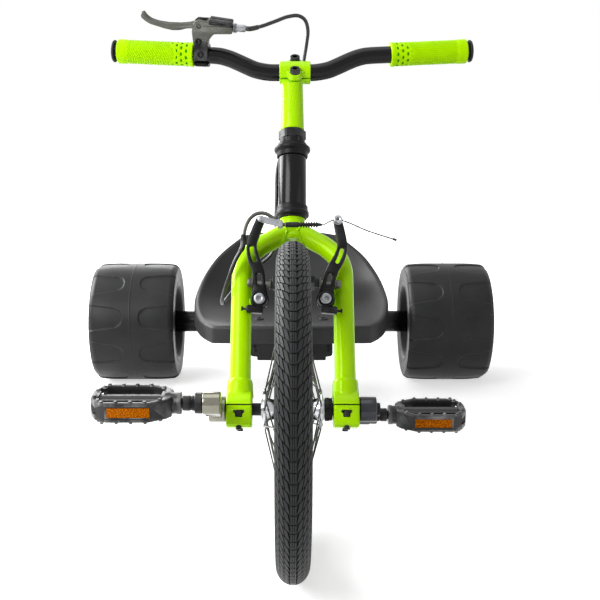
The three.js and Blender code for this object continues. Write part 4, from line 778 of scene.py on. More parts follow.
def treadPitch():
    bm = bmesh.new()
    pitch = 2 * math.pi * trike["wheelRadius"] / tyre["pitches"]
    blocks = [(a, b, 0) for a, b in tyre["centreRibs"]]
    for a, b in tyre["sideRows"]:
        blocks += [(a, b, tyre["slant"]), (-b, -a, -tyre["slant"])]
    for a, b, slant in blocks:
        layers = []
        for inset, height in ((0, -tyre["depth"] - 0.5), (0, -tyre["edge"]), (tyre["edge"], 0)):
            ring = []
            for arc, t in ((a + inset, 0), (b - inset, 0), (b - inset, 1), (a + inset, 1)):
                arc += slant * (t - 0.5)
                along = treadLift(arc) + (inset if t == 0 else pitch - tyre["slit"] - inset)
                x, r = onTyre(arc, height)
                angle = along / trike["wheelRadius"]
                ring.append((x, -r * math.cos(angle), r * math.sin(angle)))
            layers.append(ring)
        skin(bm, layers)
    return bm


def tyreCarcass(bm):
    half = [(r, x) for x, r in tyre["bead"]]
    for step in range(15):
        arc = tyreArcs[-1] * (1 - step / 14)
        x, r = onTyre(arc, 0 if arc > tyre["treadHalf"] + 0.4 else -tyre["depth"])
        half.append((r, x))
    profile = half + [(r, -x) for r, x in half[-2::-1]]
    revolve(bm, closedLine(profile), tyre["around"], alongX)


tread = repeated(treadPitch(), "ring", "tyreRubber", Count=tyre["pitches"])
carcass = shape(tyreCarcass)
outward(carcass)
addMesh(carcass, tread)
tyrePiece = pieceFrom(carcass, "frontTyre", wheelPlace, "front_wheel", "tyreRubber", "front_tyre", sharp=30,
                      fix=False)
# each point's depth below the crown, for the painted shade in the tread's grooves
depths = []
for vert in tyrePiece.data.vertices:
    x, y, z = vert.co * 1000
    r = math.hypot(y - trike["frontAxleY"], z - trike["wheelRadius"])
    crown = math.sqrt(max(1 - (x / tyre["halfWidth"]) ** 2, 0)) * tyre["rise"] + tyre["middle"]
    deep = clipped((crown - r - tyre["grooveFrom"]) / tyre["grooveOver"])
    depths.append(deep if r > tyre["middle"] + tyre["crownFrom"] else 0)
addDepth(tyrePiece.data, depths)
print("front tyre:", len(tyrePiece.data.polygons), "faces")


# Rim, valve, spokes and hub
rim = {"outer": 158.5, "inner": 146, "half": 14, "flange": 2.4, "bed": 152.6, "around": 144}
stemOfValve = {"foot": ((0, 124), (1.6, 124), (2.4, 125.5), (2.4, 131)), "threads": 9, "pitch": 1.2,
               "low": 131.4, "top": ((3.0, 142.5), (4.2, 143), (4.2, 147), (0, 147))}
spokes = {"count": 28, "cross": 62, "hole": 20, "flange": 33, "reach": 146.2, "offset": 4, "lacing": 1.7,
          "radius": 1.0, "elbow": 3.2, "headHeight": 0.8, "headRadius": 2.0,
          "nipple": ((12, 1.6), (5, 1.9), (4.9, 2.7), (0, 2.7))}
hub = {"barrel": 11.5, "radius": 14, "flange": 24, "thickness": 3.4, "half": 37.2, "bore": 7.8, "end": 12.5,
       "shoulder": 36.4}


def rimProfile(bm):
    w, f, inner, outer, bed = rim["half"], rim["flange"], rim["inner"], rim["outer"], rim["bed"]
    profile = [(inner, -w * 0.35), (inner + f * 0.6, -w * 0.85), (inner + f * 1.4, -w), (inner + 8, -w),
               (inner + 8.4, -w + 0.5), (inner + 8.8, -w), (outer, -w), (outer, -w + f), (bed, -w + f),
               (bed - 1.4, -w + 5)]
    revolve(bm, bothHalves(profile), rim["around"], alongX, soft=0.5)


def valveStem(bm, angle):
    line = [*stemOfValve["foot"]]
    for i in range(stemOfValve["threads"]):
        rise = stemOfValve["low"] + i * stemOfValve["pitch"]
        line += [(3.0, rise), (2.5, rise + 0.6)]
    revolve(bm, [*line, *stemOfValve["top"]], 20, turn("X", math.degrees(angle) - 90))


rimShape = shape(rimProfile)
valve = shape(valveStem, math.pi / spokes["count"])
outward(rimShape)
outward(valve)
addMesh(rimShape, meshOf(valve, "valve"))
pieceFrom(rimShape, "frontRim", wheelPlace, "front_wheel", "blackSteel", "front_rim", fix=False)


def spokeEnds(i):
    # both ends of a spoke, and on which side of its flange it starts
    side = 1 if i % 2 == 0 else -1
    way = 1 if i % 4 < 2 else -1
    rimAngle = 2 * math.pi * i / spokes["count"]

    def spot(x, radius, angle):
        return Vector((side * (x + way * spokes["lacing"]), radius * math.cos(angle), radius * math.sin(angle)))

    start = spot(spokes["flange"], spokes["hole"], rimAngle + way * math.radians(spokes["cross"]))
    return start, spot(spokes["offset"], spokes["reach"], rimAngle), side * way


def fourSpokes(nipples):
    bm = bmesh.new()
    for i in range(4):
        start, end, outside = spokeEnds(i)
        along = (end - start).normalized()
        if nipples:
            sweep(bm, [end - along * back for back, _ in spokes["nipple"]], [r for _, r in spokes["nipple"]], 8)
            continue
        elbow = start - Vector((outside * spokes["elbow"], 0, 0))
        head = elbow - Vector((outside * spokes["headHeight"], 0, 0))
        sweep(bm, [head, elbow, start, start + along * 3, end - along * 8],
              [spokes["headRadius"], *[spokes["radius"]] * 4], 8)
    return bm


for name, nipples, finish in (("spokes", False, "spokeSteel"), ("spokeNipples", True, "steel")):
    mesh = repeated(fourSpokes(nipples), "ring", finish, Count=spokes["count"] // 4)
    mesh.transform(wheelPlace)
    settled(mesh, name, "front_wheel", finish)


def hubShell(bm):
    r, middle, shoulder = hub["radius"], spokes["flange"], hub["shoulder"]
    near, far = middle - hub["thickness"] / 2, middle + hub["thickness"] / 2
    half = [(hub["bore"], hub["half"]), (hub["end"], hub["half"]), (hub["end"], shoulder), (r, shoulder),
            (r, far), (hub["flange"], far), (hub["flange"], near), (r, near), (hub["barrel"] + 0.8, middle - 8),
            (hub["barrel"], middle - 16)]
    revolve(bm, bothHalves(half), 64, alongX, soft=0.6)


pieceFrom(shape(hubShell), "frontHub", wheelPlace, "front_wheel", "chrome", "spoked_hub")
print("rim, spokes and hub done")


# Rear wheels: hollow mouldings with tongue-shaped hollows pressed in from both edges
rearWheel = {"radius": 110.5, "inner": 212, "width": 153, "recess": 66.5, "recessFloor": 61, "recessDepth": 58,
             "hub": 23, "bore": 8.3, "hubInset": 24.2, "tongues": 10, "tongueLength": 62, "tongueHalf": 24,
             "tongueTip": 18, "hollow": 2.2, "edge": 1.3, "fine": 0.8, "coarse": 2.4,
             "turned": {"left": 9.6, "right": 19.2}, "seam": 0.5, "seamWidth": 1.3, "seamWave": 2, "crown": 1.7,
             "shoulder": 12, "drop": 7.2, "fade": 30}


def tongueDepth(x, along):
    # how deep the barrel's surface lies at x from the wheel's inner edge and along the circumference
    deepest = 0.0
    reach, tip, wide = rearWheel["tongueLength"], rearWheel["tongueTip"], rearWheel["tongueHalf"]
    for u in (x, rearWheel["width"] - x):
        if u > reach + 3:
            continue
        half = wide + (tip - wide) * min(u / (reach - tip), 1)
        outside = math.hypot(u - (reach - tip), along) - tip if u > reach - tip else abs(along) - half
        t = clipped(0.5 - outside / rearWheel["edge"])
        deepest = max(deepest, t * t * (3 - 2 * t))
    return deepest * rearWheel["hollow"]


def barrelRadius(x):
    u, shoulder = min(x, rearWheel["width"] - x), rearWheel["shoulder"]
    if u < shoulder:
        return rearWheel["radius"] - rearWheel["crown"] - rearWheel["drop"] * (1 - u / shoulder) ** 2.3
    return rearWheel["radius"] - rearWheel["crown"] * max(0, 1 - (u - shoulder) / rearWheel["fade"]) ** 2


def ladder(spans):
    # places along a line, each span of (start, end, spacing) evenly parted
    places = []
    for start, end, spacing in spans:
        count = max(round((end - start) / spacing), 1)
        places += [start + (end - start) * i / count for i in range(count)]
    return places


def rearWheelMesh(name, side):
    w, fine, coarse, radius = (rearWheel[key] for key in ("width", "fine", "coarse", "radius"))
    core, deep, mouth, floor = (rearWheel[key] for key in ("hub", "recessDepth", "recess", "recessFloor"))
    bm = bmesh.new()
    pitch = 2 * math.pi / rearWheel["tongues"]
    low, high = rearWheel["tongueTip"] - 3, rearWheel["tongueHalf"] + 2
    halfPitch = radius * pitch / 2
    offsets = ladder(((-halfPitch, -high, coarse), (-high, -low, fine), (-low, low, coarse), (low, high, fine),
                      (high, halfPitch, coarse)))
    angles = [(k + 0.5) * pitch + offset / radius for k in range(rearWheel["tongues"]) for offset in offsets]
    tipFrom, tipTo = rearWheel["tongueLength"] - rearWheel["tongueTip"], rearWheel["tongueLength"] + 3
    acrossHalf = ladder(((0.55, 12, 1.3), (12, tipFrom, coarse), (tipFrom, tipTo, fine),
                         (tipTo, w / 2 - 5, coarse), (w / 2 - 5, w / 2, 0.7)))
    across = acrossHalf + [w / 2] + [w - x for x in acrossHalf[::-1]]
    # the hub, the recess and the flat face of one half, as (radius, x)
    half = [(rearWheel["bore"], rearWheel["hubInset"]), (core - 1.2, rearWheel["hubInset"]), (core, 26.5),
            (core, deep - 4), (core + 4, deep), (floor - 4, deep), (floor, deep - 5), (mouth - 0.6, 5),
            (mouth + 2, 1.0), (mouth + 6, 0.2), (mouth + 8, 0.2), (mouth + 9, 0.9), (mouth + 13, 0.9),
            (mouth + 14.2, 0.2), (97.5, 0.2), (100.5, 0.3)]
    line = [(r, x, False) for r, x in half] + [(barrelRadius(x), x, True) for x in across]
    line += [(r, w - x, False) for r, x in half[::-1]]
    turned = math.radians(rearWheel["turned"][name])
    rows = []
    for r, x, moulded in line:
        ring = []
        for a in angles:
            here = r
            if moulded:
                here -= tongueDepth(x, (a % pitch - pitch / 2) * r) + rearWheel["seam"]
                away = abs(x - w / 2 - rearWheel["seamWave"] * math.sin(a * 2))
                here += rearWheel["seam"] * max(0, 1 - away / rearWheel["seamWidth"])
            spot = a - pitch / 2 + turned
            ring.append((side * (rearWheel["inner"] + x), -here * math.cos(spot), here * math.sin(spot)))
        rows.append(ring)
    skin(bm, rows, along=True)
    return bm


for name, side in sides.items():
    wheel = "rear_wheel_" + name
    pieceFrom(rearWheelMesh(name, side), "rearWheel_" + name, rearPlace, wheel, "wheelPlastic", wheel, sharp=50)
print("rear wheels done")

# Rear axle and its nuts
rearAxle = {"radius": 8, "half": 354.6, "thread": 20, "threadPitch": 1.6, "nutRadius": 12, "nutStart": 341.3,
            "nutHeight": 9}


def threadedRod(bm):
    radius, half, pitch = rearAxle["radius"], rearAxle["half"], rearAxle["threadPitch"]
    line = [(0, -half), (radius - 1, -half), (radius, -half + 1)]
    for i in range(int(rearAxle["thread"] / pitch)):
        line += [(radius, -half + 1.4 + i * pitch), (radius - 0.6, -half + 2.2 + i * pitch)]
    revolve(bm, line + [(r, -h) for r, h in line[::-1]], 24, alongX)


pieceFrom(shape(threadedRod), "rearAxle", rearPlace, "frame", "steel", "rear_axle")
for name, side in sides.items():
    nut = shape(hexagon, rearAxle["nutRadius"], rearAxle["nutStart"],
                rearAxle["nutStart"] + rearAxle["nutHeight"], turn("Y", 90 * side),
                bore=rearAxle["radius"] + 0.3)
    pieceFrom(nut, "rearAxleNut_" + name, rearPlace, "frame", "steel", "rear_axle_nut_" + name)


# Seat: a bucket whose rim rolls over into a skirt all round
seat = {"front": 136.75, "length": 348, "pan": 159, "rise": 108, "halfWidth": 173, "wall": 4.4, "skirt": 29,
        "power": 3.2, "flat": 0.5, "rimHalf": 175, "rows": 64, "columns": 84, "roll": 6.4, "rollSteps": 6,
        "flare": 0.8, "inset": 6.8, "corner": 0.12, "boltX": 55, "boltY": 221.75, "boltHead": 8,
        "boltHeight": 3.4, "boltSocket": 3.2, "boltShank": 3.4}
seatCentre = ((0, 0, 0.13), (0, 0.06, 0.115), (0, 0.2, 0.03), (0, 0.45, 0), (0, 0.66, 0.02), (0, 0.82, 0.12),
              (0, 0.92, 0.36), (0, 0.975, 0.7), (0, 1, 1))
seatEdge = ((0.77, 0.03, 0.07), (0.86, 0.1, 0.09), (0.94, 0.22, 0.12), (1, 0.42, 0.17), (0.995, 0.58, 0.24),
            (0.93, 0.76, 0.42), (0.8, 0.88, 0.66), (0.64, 0.95, 0.83), (0.5, 0.985, 0.94))


def seatLine(shares):
    return curveOf([(seat["halfWidth"] * out, seat["front"] + seat["length"] * along,
                     seat["pan"] + seat["rise"] * up) for out, along, up in shares])


def seatPoint(u, v):
    middle, edge = seatLines[0](u), seatLines[1](u)
    across = math.sin(v * math.pi / 2) * (1 - seat["flat"]) + v * seat["flat"]
    up = abs(v) ** seat["power"]
    return Vector((edge[0] * across, middle[1] + (edge[1] - middle[1]) * v * v,
                   middle[2] + (edge[2] - middle[2]) * up))


def seatPlace(i, j):
    # grid place to a point of the upper face, the grid's corners rounded off
    a, b = 2 * i / seat["rows"] - 1, 2 * j / seat["columns"] - 1
    a, b = a * math.sqrt(1 - seat["corner"] * b * b), b * math.sqrt(1 - seat["corner"] * a * a)
    a *= 1 - 2 * seat["inset"] / seat["length"]
    b *= 1 - seat["inset"] / seat["halfWidth"]
    return seatPoint((a + 1) / 2, b)


def seatShell(bm):
    rows, columns = seat["rows"], seat["columns"]
    top = [[seatPlace(i, j) for j in range(columns + 1)] for i in range(rows + 1)]

    def normalAt(i, j):
        alongRow = top[min(i + 1, rows)][j] - top[max(i - 1, 0)][j]
        alongColumn = top[i][min(j + 1, columns)] - top[i][max(j - 1, 0)]
        return alongColumn.cross(alongRow).normalized()

    under = [[top[i][j] - normalAt(i, j) * seat["wall"] for j in range(columns + 1)] for i in range(rows + 1)]
    layers = []
    for face in (top, under):
        verts = [[bm.verts.new(p) for p in row] for row in face]
        layers.append(verts)
        for i in range(rows):
            for j in range(columns):
                bm.faces.new((verts[i][j], verts[i][j + 1], verts[i + 1][j + 1], verts[i + 1][j]))
    loop = [(0, j) for j in range(columns)] + [(i, columns) for i in range(rows)]
    loop += [(rows, j) for j in range(columns, 0, -1)] + [(i, 0) for i in range(rows, 0, -1)]
    count = len(loop)
    edge = [layers[0][i][j] for i, j in loop]
    rims = []
    for k, (i, j) in enumerate(loop):
        # over the edge in a quarter round, down the skirt, back under it and up inside
        tangent = edge[(k + 2) % count].co - edge[(k - 2) % count].co
        out, normal = Vector((tangent.y, -tangent.x, 0)).normalized(), normalAt(i, j)
        start = math.atan2(normal.dot(out), normal.z)
        rim = []
        for step in range(1, seat["rollSteps"] + 1):
            angle = start + (math.pi / 2 - start) * step / seat["rollSteps"]
            low, high = (math.sin(a) * out + math.cos(a) * Vector((0, 0, 1)) for a in (start, angle))
            rim.append(edge[k].co + (high - low) * seat["roll"])
        foot = edge[k].co.z - seat["skirt"]
        rim.append(Vector((rim[-1].x, rim[-1].y, foot)) + out * seat["flare"])
        rim.append(rim[-1] - out * (seat["wall"] - 1.2))
        low = rim[-1] - out * 0.4
        rim.append(Vector((low.x, low.y, min(rim[5].z - 1.5, foot + seat["skirt"] - 7))))
        rims.append(rim)
    rings = [edge, *[[bm.verts.new(rim[step]) for rim in rims] for step in range(len(rims[0]))],
             [layers[1][i][j] for i, j in loop]]
    for a, b in zip(rings, rings[1:]):
        for k in range(count):
            n = (k + 1) % count
            bm.faces.new((a[k], b[k], b[n], a[n]))
    # the rolled rim is drawn in to the seat's own width and length
    wide = max(v.co.x for v in bm.verts)
    near, far = (pick(v.co.y for v in bm.verts) for pick in (min, max))
    for v in bm.verts:
        v.co.x *= seat["rimHalf"] / wide
        v.co.y = seat["front"] + seat["length"] * (v.co.y - near) / (far - near)


seatLines = (seatLine(seatCentre), seatLine(seatEdge))
boltFloor = min(p.z for p in (seatPoint(i / 60, 2 * j / 60 - 1) for i in range(61) for j in range(61))
                if math.hypot(p.x - seat["boltX"], p.y - seat["boltY"]) < seat["boltHead"]) - trike["clearance"]
seatShape = shape(seatShell)
pockets = [shape(rod, seat["boltHead"] + 1.2, boltFloor + 0.2, seat["pan"] + 60, 40,
                 shift(side * seat["boltX"], seat["boltY"], 0)) for side in sides.values()]
pieceFrom(cutFrom(seatShape, *pockets), "seatShell", world, "frame", "seatPlastic", "seat", sharp=50)


def domedBolt(bm, radius, height, socket, low, stem):
    # a low round head with a hex socket, on a plain shank that goes down to low
    line = [(0, low), (stem, low), (stem, 0), (radius, 0), (radius, height * 0.45),
            (radius * 0.8, height * 0.92), (socket + 0.5, height)]
    revolve(bm, line + [(socket, height * 0.96), (socket, height * 0.35), (0, height * 0.35)], 36)


for name, side in sides.items():
    bolt = shape(domedBolt, seat["boltHead"], seat["boltHeight"], seat["boltSocket"], -20, seat["boltShank"])
    head = shift(side * seat["boltX"], seat["boltY"], boltFloor + trike["clearance"])
    pieceFrom(bolt, "seatBolt_" + name, world @ head, "frame", "blackSteel", "seat_bolt_" + name)
print("seat done")


# Frame: head tube, backbone, cross tube, rails and the plate under the seat's front
body = {"tube": 15.9, "cross": 20, "crossHalf": 235.7, "railX": 57, "railWidth": 20, "railLow": 126,
        "railTop": 153.7, "plateHalf": 68, "plateLow": 116, "plateTop": 144, "plateY": 144.75, "plateThick": 6,
        "headLow": 264, "headTop": 330, "headTube": 18, "headBore": 16, "axleBore": 8.3, "boltHole": 3.8,
        "screwX": 61, "screwZ": (136.5, 129.5), "bead": 2.4,
        "spine": ((-45.25, 400), (49.75, 278), (103.75, 165), (144.75, 112.3))}


def headAxisGap(point):
    local = steeringMm.inverted() @ point
    return math.hypot(local.x, local.y)


def frameShape():
    headMiddle = steeringMm @ Vector((0, 0, (body["headLow"] + body["headTop"]) / 2))
    spine = splineThrough([headMiddle, *[(0, y, z) for y, z in body["spine"]], (0, trike["rearAxleY"], 112)],
                          110)
    whole = shape(rod, body["headTube"], body["headLow"], body["headTop"], 64, steeringMm, 0.8)
    whole = joined(whole, shape(sweep, spine, body["tube"], 40))
    whole = cutFrom(whole, shape(rod, body["headBore"], body["headLow"] - 5, body["headTop"] + 5, 64,
                                 steeringMm, 0))
    y0, half, low, high = body["plateY"], body["plateHalf"], body["plateLow"], body["plateTop"]
    outline = [(-half, low + 4), (-half + 34, low), (half - 34, low), (half, low + 4), (half, high),
               (-half, high)]
    more = [shape(rod, body["cross"], -body["crossHalf"], body["crossHalf"], 64, rearMm @ alongX, 1.2),
            shape(plate, softened(outline, 5), -y0 - body["plateThick"], -y0, inXZ, (), 0.8),
            shape(box, -body["railX"], body["railX"], y0 + 1, y0 + 40, 112, 130, same, 1.5)]
    for side in sides.values():
        x, wide = side * body["railX"], body["railWidth"] / 2
        more.append(shape(box, x - wide, x + wide, y0 + 3, trike["rearAxleY"] + 10, body["railLow"],
                          body["railTop"], same, 2.5))
    whole = joined(whole, *more)
    holes = [shape(rod, body["boltHole"], body["railTop"] - 22, body["railTop"] + 6, 20,
                   shift(side * seat["boltX"], seat["boltY"], 0)) for side in sides.values()]
    whole = cutFrom(whole, shape(rod, body["axleBore"], -260, 260, 32, rearMm @ alongX, 0), *holes)
    headRing = meetingRing(spine[:50], body["tube"] + 0.4, lambda q: headAxisGap(q) > body["headTube"] + 0.4)
    plateRing = meetingRing(spine, body["tube"] + 0.4, lambda q: q.y > y0 + 6 and q.z < high)
    weldBead(whole, headRing, body["bead"], 3)
    weldBead(whole, plateRing, body["bead"] * 0.8, 4)
    for side in sides.values():
        for x in (side * body["railX"] - 10.3, side * body["railX"] + 10.3):
            arc = [Vector((x, trike["rearAxleY"] + 20.6 * math.sin(a),
                           trike["rearRadius"] + 20.6 * math.cos(a))) for a in np.linspace(-0.62, 0.5, 14)]
            sweep(whole, arc, [1.6 + 0.3 * (i % 2) for i in range(14)], 8)
    return whole


def screwHead(bm, radius, height, place):
    # a small round head with a recess
    line = [(0, height * 0.5), (radius * 0.32, height * 0.5), (radius * 0.36, height),
            (radius * 0.7, height * 0.9), (radius, height * 0.4), (radius, -0.3), (0, -0.3)]
    revolve(bm, line, 24, place)


pieceFrom(frameShape(), "trikeFrame", world, "frame", "blackPaint", "frame", fix=False)
screws = bmesh.new()
for side in sides.values():
    for z in body["screwZ"]:
        screwHead(screws, 2.9, 1.9, shift(side * body["screwX"], body["plateY"], z) @ turn("X", 90))
pieceFrom(screws, "plateScrews", world, "frame", "blackSteel")


headset = {"bore": 13.1, "nutRadius": 18.5, "nutLow": 354.3, "nutHigh": 366.5,
           "collar": ((16.5, 348.3), (16.5, 354.8)),
           "lower": ((18.5, 247.6), (18.6, 249.4), (20.6, 250), (21.5, 251.6), (21.5, 255.5), (20.4, 256.8),
                     (20, 260), (20, 263.7), (15.7, 263.7), (15.7, 272)),
           "upper": ((15.7, 322), (15.7, 330.3), (20, 330.3), (20.4, 336), (23, 338.2), (23.5, 339.6),
                     (23.5, 342.2), (22.8, 343.4), (19.6, 344.4), (19, 345.2), (19, 348))}


def cupShape(bm, line):
    bore = headset["bore"]
    revolve(bm, closedLine([(bore, line[0][1]), *line, (bore, line[-1][1])]), 72, soft=0.5)


for name in ("lower", "upper"):
    pieceFrom(shape(cupShape, headset[name]), name + "Cup", steering, "frame", "blackSteel",
              name + "_headset_cup")
nutShape = joined(shape(hexagon, headset["nutRadius"], headset["nutLow"], headset["nutHigh"], same,
                        headset["bore"], 0.8), shape(cupShape, headset["collar"]))
pieceFrom(nutShape, "lockNut", steering, "fork", "blackSteel", "headset_lock_nut")
print("frame and headset done")


# Fork: two legs and an arch in one bend, the steerer and the upper halves of the axle clamps
fork = {"leg": 12.7, "spread": 63, "bottom": 12, "archStart": 160, "archRise": 71, "rake": 24, "neck": 15.3,
        "neckRise": (14, 20, 27, 31, 34, 35.6), "neckGrowth": (1.2, 0.6, 0.2, 0, -0.6, -2.4),
        "steerer": 12.7, "race": 16.4, "raceTop": 247.3, "steererTop": 366, "boss": 8, "bossBore": 4.3}
clamp = {"width": 30, "radius": 22, "split": 4, "gap": 1.6, "bore": 11.6, "boltY": 16.6, "low": -22,
         "boltLine": ((0, -25), (3.2, -25), (3.7, -24.4), (3.7, -22.4), (2.9, -22.2), (2.9, 8.6), (0, 8.6)),
         "headLine": ((2.5, -10), (3.4, -10), (4.6, -9.2), (4.6, -4), (4, -3.4), (2.5, -3.4), (2.5, -10)),
         "notchWide": 13, "notchNarrow": 8.4, "notchTop": -2, "notchStep": -5, "notchLow": -10.5, "ledge": -1.5,
         "flat": 20.2, "round": 2.6, "bearing": 7.8, "bearingOuter": 11.2, "bearingHalf": 13}
archPoints = ((1, 1, 0), (0.984, 0.86, 0.23), (0.913, 0.64, 0.43), (0.794, 0.47, 0.57), (0.635, 0.3, 0.7),
              (0.444, 0.13, 0.81), (0.222, 0.02, 0.93), (0, 0, 1))


axleLocal = shift(0, -trike["forkOffset"], 0)


def legY(z):
    return -trike["forkOffset"] + (trike["forkOffset"] - fork["rake"]) * z / fork["archStart"]


def bladePath():
    rises = [fork["bottom"] + (fork["archStart"] - fork["bottom"]) * u for u in (0, 0.3, 0.6, 0.85)]
    half = [(fork["spread"], legY(z), z) for z in rises]
    half += [(fork["spread"] * a, -fork["rake"] * b, fork["archStart"] + fork["archRise"] * u)
             for a, b, u in archPoints]
    return splineThrough(half + [(-x, y, z) for x, y, z in half[-2::-1]], 200)


def clampProfile(lower):
    # the clamp seen from its side, in y and z about the axle
    radius, ledge, flat, foot = clamp["radius"], clamp["ledge"], clamp["flat"], clamp["low"]
    if not lower:
        start = math.asin((clamp["split"] + clamp["gap"] / 2) / radius)
        return arcOf(radius, start, math.pi - start, 28)
    top = math.asin((clamp["split"] - clamp["gap"] / 2) / radius)
    half = [(flat - 4.4, foot), (flat, foot + 3), (flat, ledge - 3.6), (flat + 0.3, ledge - 2.4), (21.9, ledge)]
    middle = softened([(-y, z) for y, z in half[::-1]] + half, 1.2, closed=False)
    return arcOf(radius, math.pi - top, math.pi + 0.04, 7) + middle + arcOf(radius, -0.04, top, 7)


def roundedDisc(bm, outline, low, high, bevel, place):
    # a flat outline given a thickness, its rim rounded towards the middle
    rows = []
    for end, way in ((low, 1), (high, -1)):
        for angle in np.linspace(0, math.pi / 2, 6)[::way]:
            inset = bevel * (1 - math.sin(angle))
            depth = end + way * bevel * (1 - math.cos(angle))
            shares = [1 - inset / math.hypot(a, b) for a, b in outline]
            rows.append([(a * share, b * share, depth) for (a, b), share in zip(outline, shares)])
    skin(bm, rows, place=place)


def clampHalf(side, lower):
    x, wide = side * fork["spread"] - clamp["width"] / 2, clamp["width"]
    solid = shape(roundedDisc, clampProfile(lower), x, x + wide, clamp["round"], axleLocal @ inYZ)
    return cutFrom(solid, shape(rod, clamp["bore"], x - 5, x + wide + 5, 56, axleLocal @ alongX, 0))


def slotCut(side, way):
    # a T-shaped pocket for a bolt head, open to the front or the back
    x = side * fork["spread"]
    y0, y1 = sorted((-trike["forkOffset"] + way * 11.2, -trike["forkOffset"] + way * 26))
    wide, narrow, step = clamp["notchWide"] / 2, clamp["notchNarrow"] / 2, clamp["notchStep"]
    half = [(narrow, clamp["notchLow"]), (narrow, step - 1.4), (wide, step), (wide, clamp["notchTop"])]
    outline = [(-a, b) for a, b in half[::-1]] + half
    return shape(plate, [(x + a, b) for a, b in softened(outline, 1)], -y1, -y0, inXZ, (), 0.1)


def brakeBoss(side):
    x, z = side * trike["brakeX"], trike["brakeZ"]
    inner, outer = sorted((x, side * (fork["spread"] - 8)))
    boss = joined(shape(rod, fork["boss"], -44.3, -26, 32, shift(x, 0, z) @ alongY, 0.8),
                  shape(box, inner, outer, legY(z) - 8, legY(z) + 3, z - 5, z + 5, same, 2.5))
    return cutFrom(boss, shape(rod, fork["bossBore"], -50, -30, 20, shift(x, 0, z) @ alongY, 0))


def forkShape():
    path = bladePath()
    post, race = fork["steerer"], fork["race"]
    steerer = [(0, 218), (14.2, 219), (14.4, 224), (post, 227.5), (post, 231), (15, 234.4), (race, 236.6),
               (race, 241), (15.9, 243), (15.9, 244.4), (race, 245.4), (race, fork["raceTop"]),
               (post, fork["raceTop"]), (post, fork["steererTop"]), (0, fork["steererTop"])]
    whole = joined(shape(sweep, path, fork["leg"], 48), shape(revolve, steerer, 64, same, 0.6))
    for side in sides.values():
        neck = [(side * fork["spread"], legY(z), z) for z in fork["neckRise"]]
        leg = shape(sweep, neck, [fork["neck"] + more for more in fork["neckGrowth"]], 48)
        whole = joined(whole, leg, clampHalf(side, False), brakeBoss(side))
    reach = fork["spread"] + clamp["width"]
    whole = cutFrom(whole, shape(rod, clamp["bore"], -reach, reach, 56, axleLocal @ alongX, 0))
    middle = len(path) // 2
    for side in sides.values():
        half = path[middle - 40:middle + 1][::-1] if side > 0 else path[middle:middle + 41]
        ring = meetingRing(half, fork["leg"] + 0.2, lambda q: math.hypot(q.x, q.y) > 14.3)
        weldBead(whole, ring, 1.9, 7 + side)
    return whole


pieceFrom(forkShape(), "forkBody", steering, "fork", "greenPaint", "fork", fix=False)
for name, side in sides.items():
    cap = cutFrom(clampHalf(side, True), *[slotCut(side, way) for way in (-1, 1)])
    pieceFrom(cap, "axleCap_" + name, steering, "fork", "greenPaint", "axle_cap_" + name)
    for end, way in ends.items():
        spot = shift(side * fork["spread"], -trike["forkOffset"] + way * clamp["boltY"], 0)
        bolt = joined(shape(revolve, clamp["boltLine"], 24, spot), shape(revolve, clamp["headLine"], 24, spot))
        pieceFrom(bolt, f"capBolt_{name}_{end}", steering, "fork", "blackSteel", f"axle_cap_bolt_{name}_{end}")
    bearing = shape(washer, clamp["bearing"], clamp["bearingOuter"], -clamp["bearingHalf"],
                    clamp["bearingHalf"], 48, shift(side * fork["spread"], 0, 0) @ axleLocal @ alongX, 0.4)
    pieceFrom(bearing, "forkBearing_" + name, steering, "fork", "steel", "fork_bearing_" + name)
print("fork done")


# Stem: a tapered post under a split clamp whose cap faces up and forward
stem = {"base": 15.6, "top": 14.2, "low": 366.8, "high": 441, "radius": 15, "width": 41, "bore": 11.5,
        "reach": 22.4, "lug": ((3.5, 0), (6.4, -1), (8.2, -3.9), (9.6, -6.8), (14, -11.4)), "lugHeight": 9,
        "gap": 2, "boltY": 15.6, "boltRadius": 3.9, "head": 6.5, "headHeight": 6.4, "seat": 9.3, "socket": 3.3}


def boltHoles(radius, low, count, place=same):
    return [shape(rod, radius, low, 30, count, place @ shift(0, way * stem["boltY"], 0), 0)
            for way in ends.values()]


def clampSolid(high):
    # the half of the clamp above or below its split, with a lug for each bolt
    half = stem["width"] / 2
    whole = shape(rod, stem["radius"], -half, half, 72, alongX, 1.6)
    for way in ends.values():
        right = [(x, stem["reach"] + y) for x, y in stem["lug"]]
        lug = [(-x, y) for x, y in right[::-1]] + right
        outline = softened([(x, way * y) for x, y in lug[::way]] + [(way * 14, way * 4), (-way * 14, way * 4)],
                           1.5)
        whole = joined(whole, shape(plate, outline, -stem["lugHeight"], stem["lugHeight"], same, (), 1.2))
    low, top = (stem["gap"] / 2, 40) if high else (-40, -stem["gap"] / 2)
    whole = combined(whole, shape(box, -30, 30, -30, 30, low, top, same, 0.05), "INTERSECT")
    shanks = boltHoles(stem["boltRadius"] + 0.3, -13.4, 24)
    heads = boltHoles(stem["head"] + 0.4, stem["lugHeight"] - 0.2, 32)
    return cutFrom(whole, shape(rod, stem["bore"], -40, 40, 64, alongX, 0), shanks[0], heads[0], shanks[1],
                   heads[1])


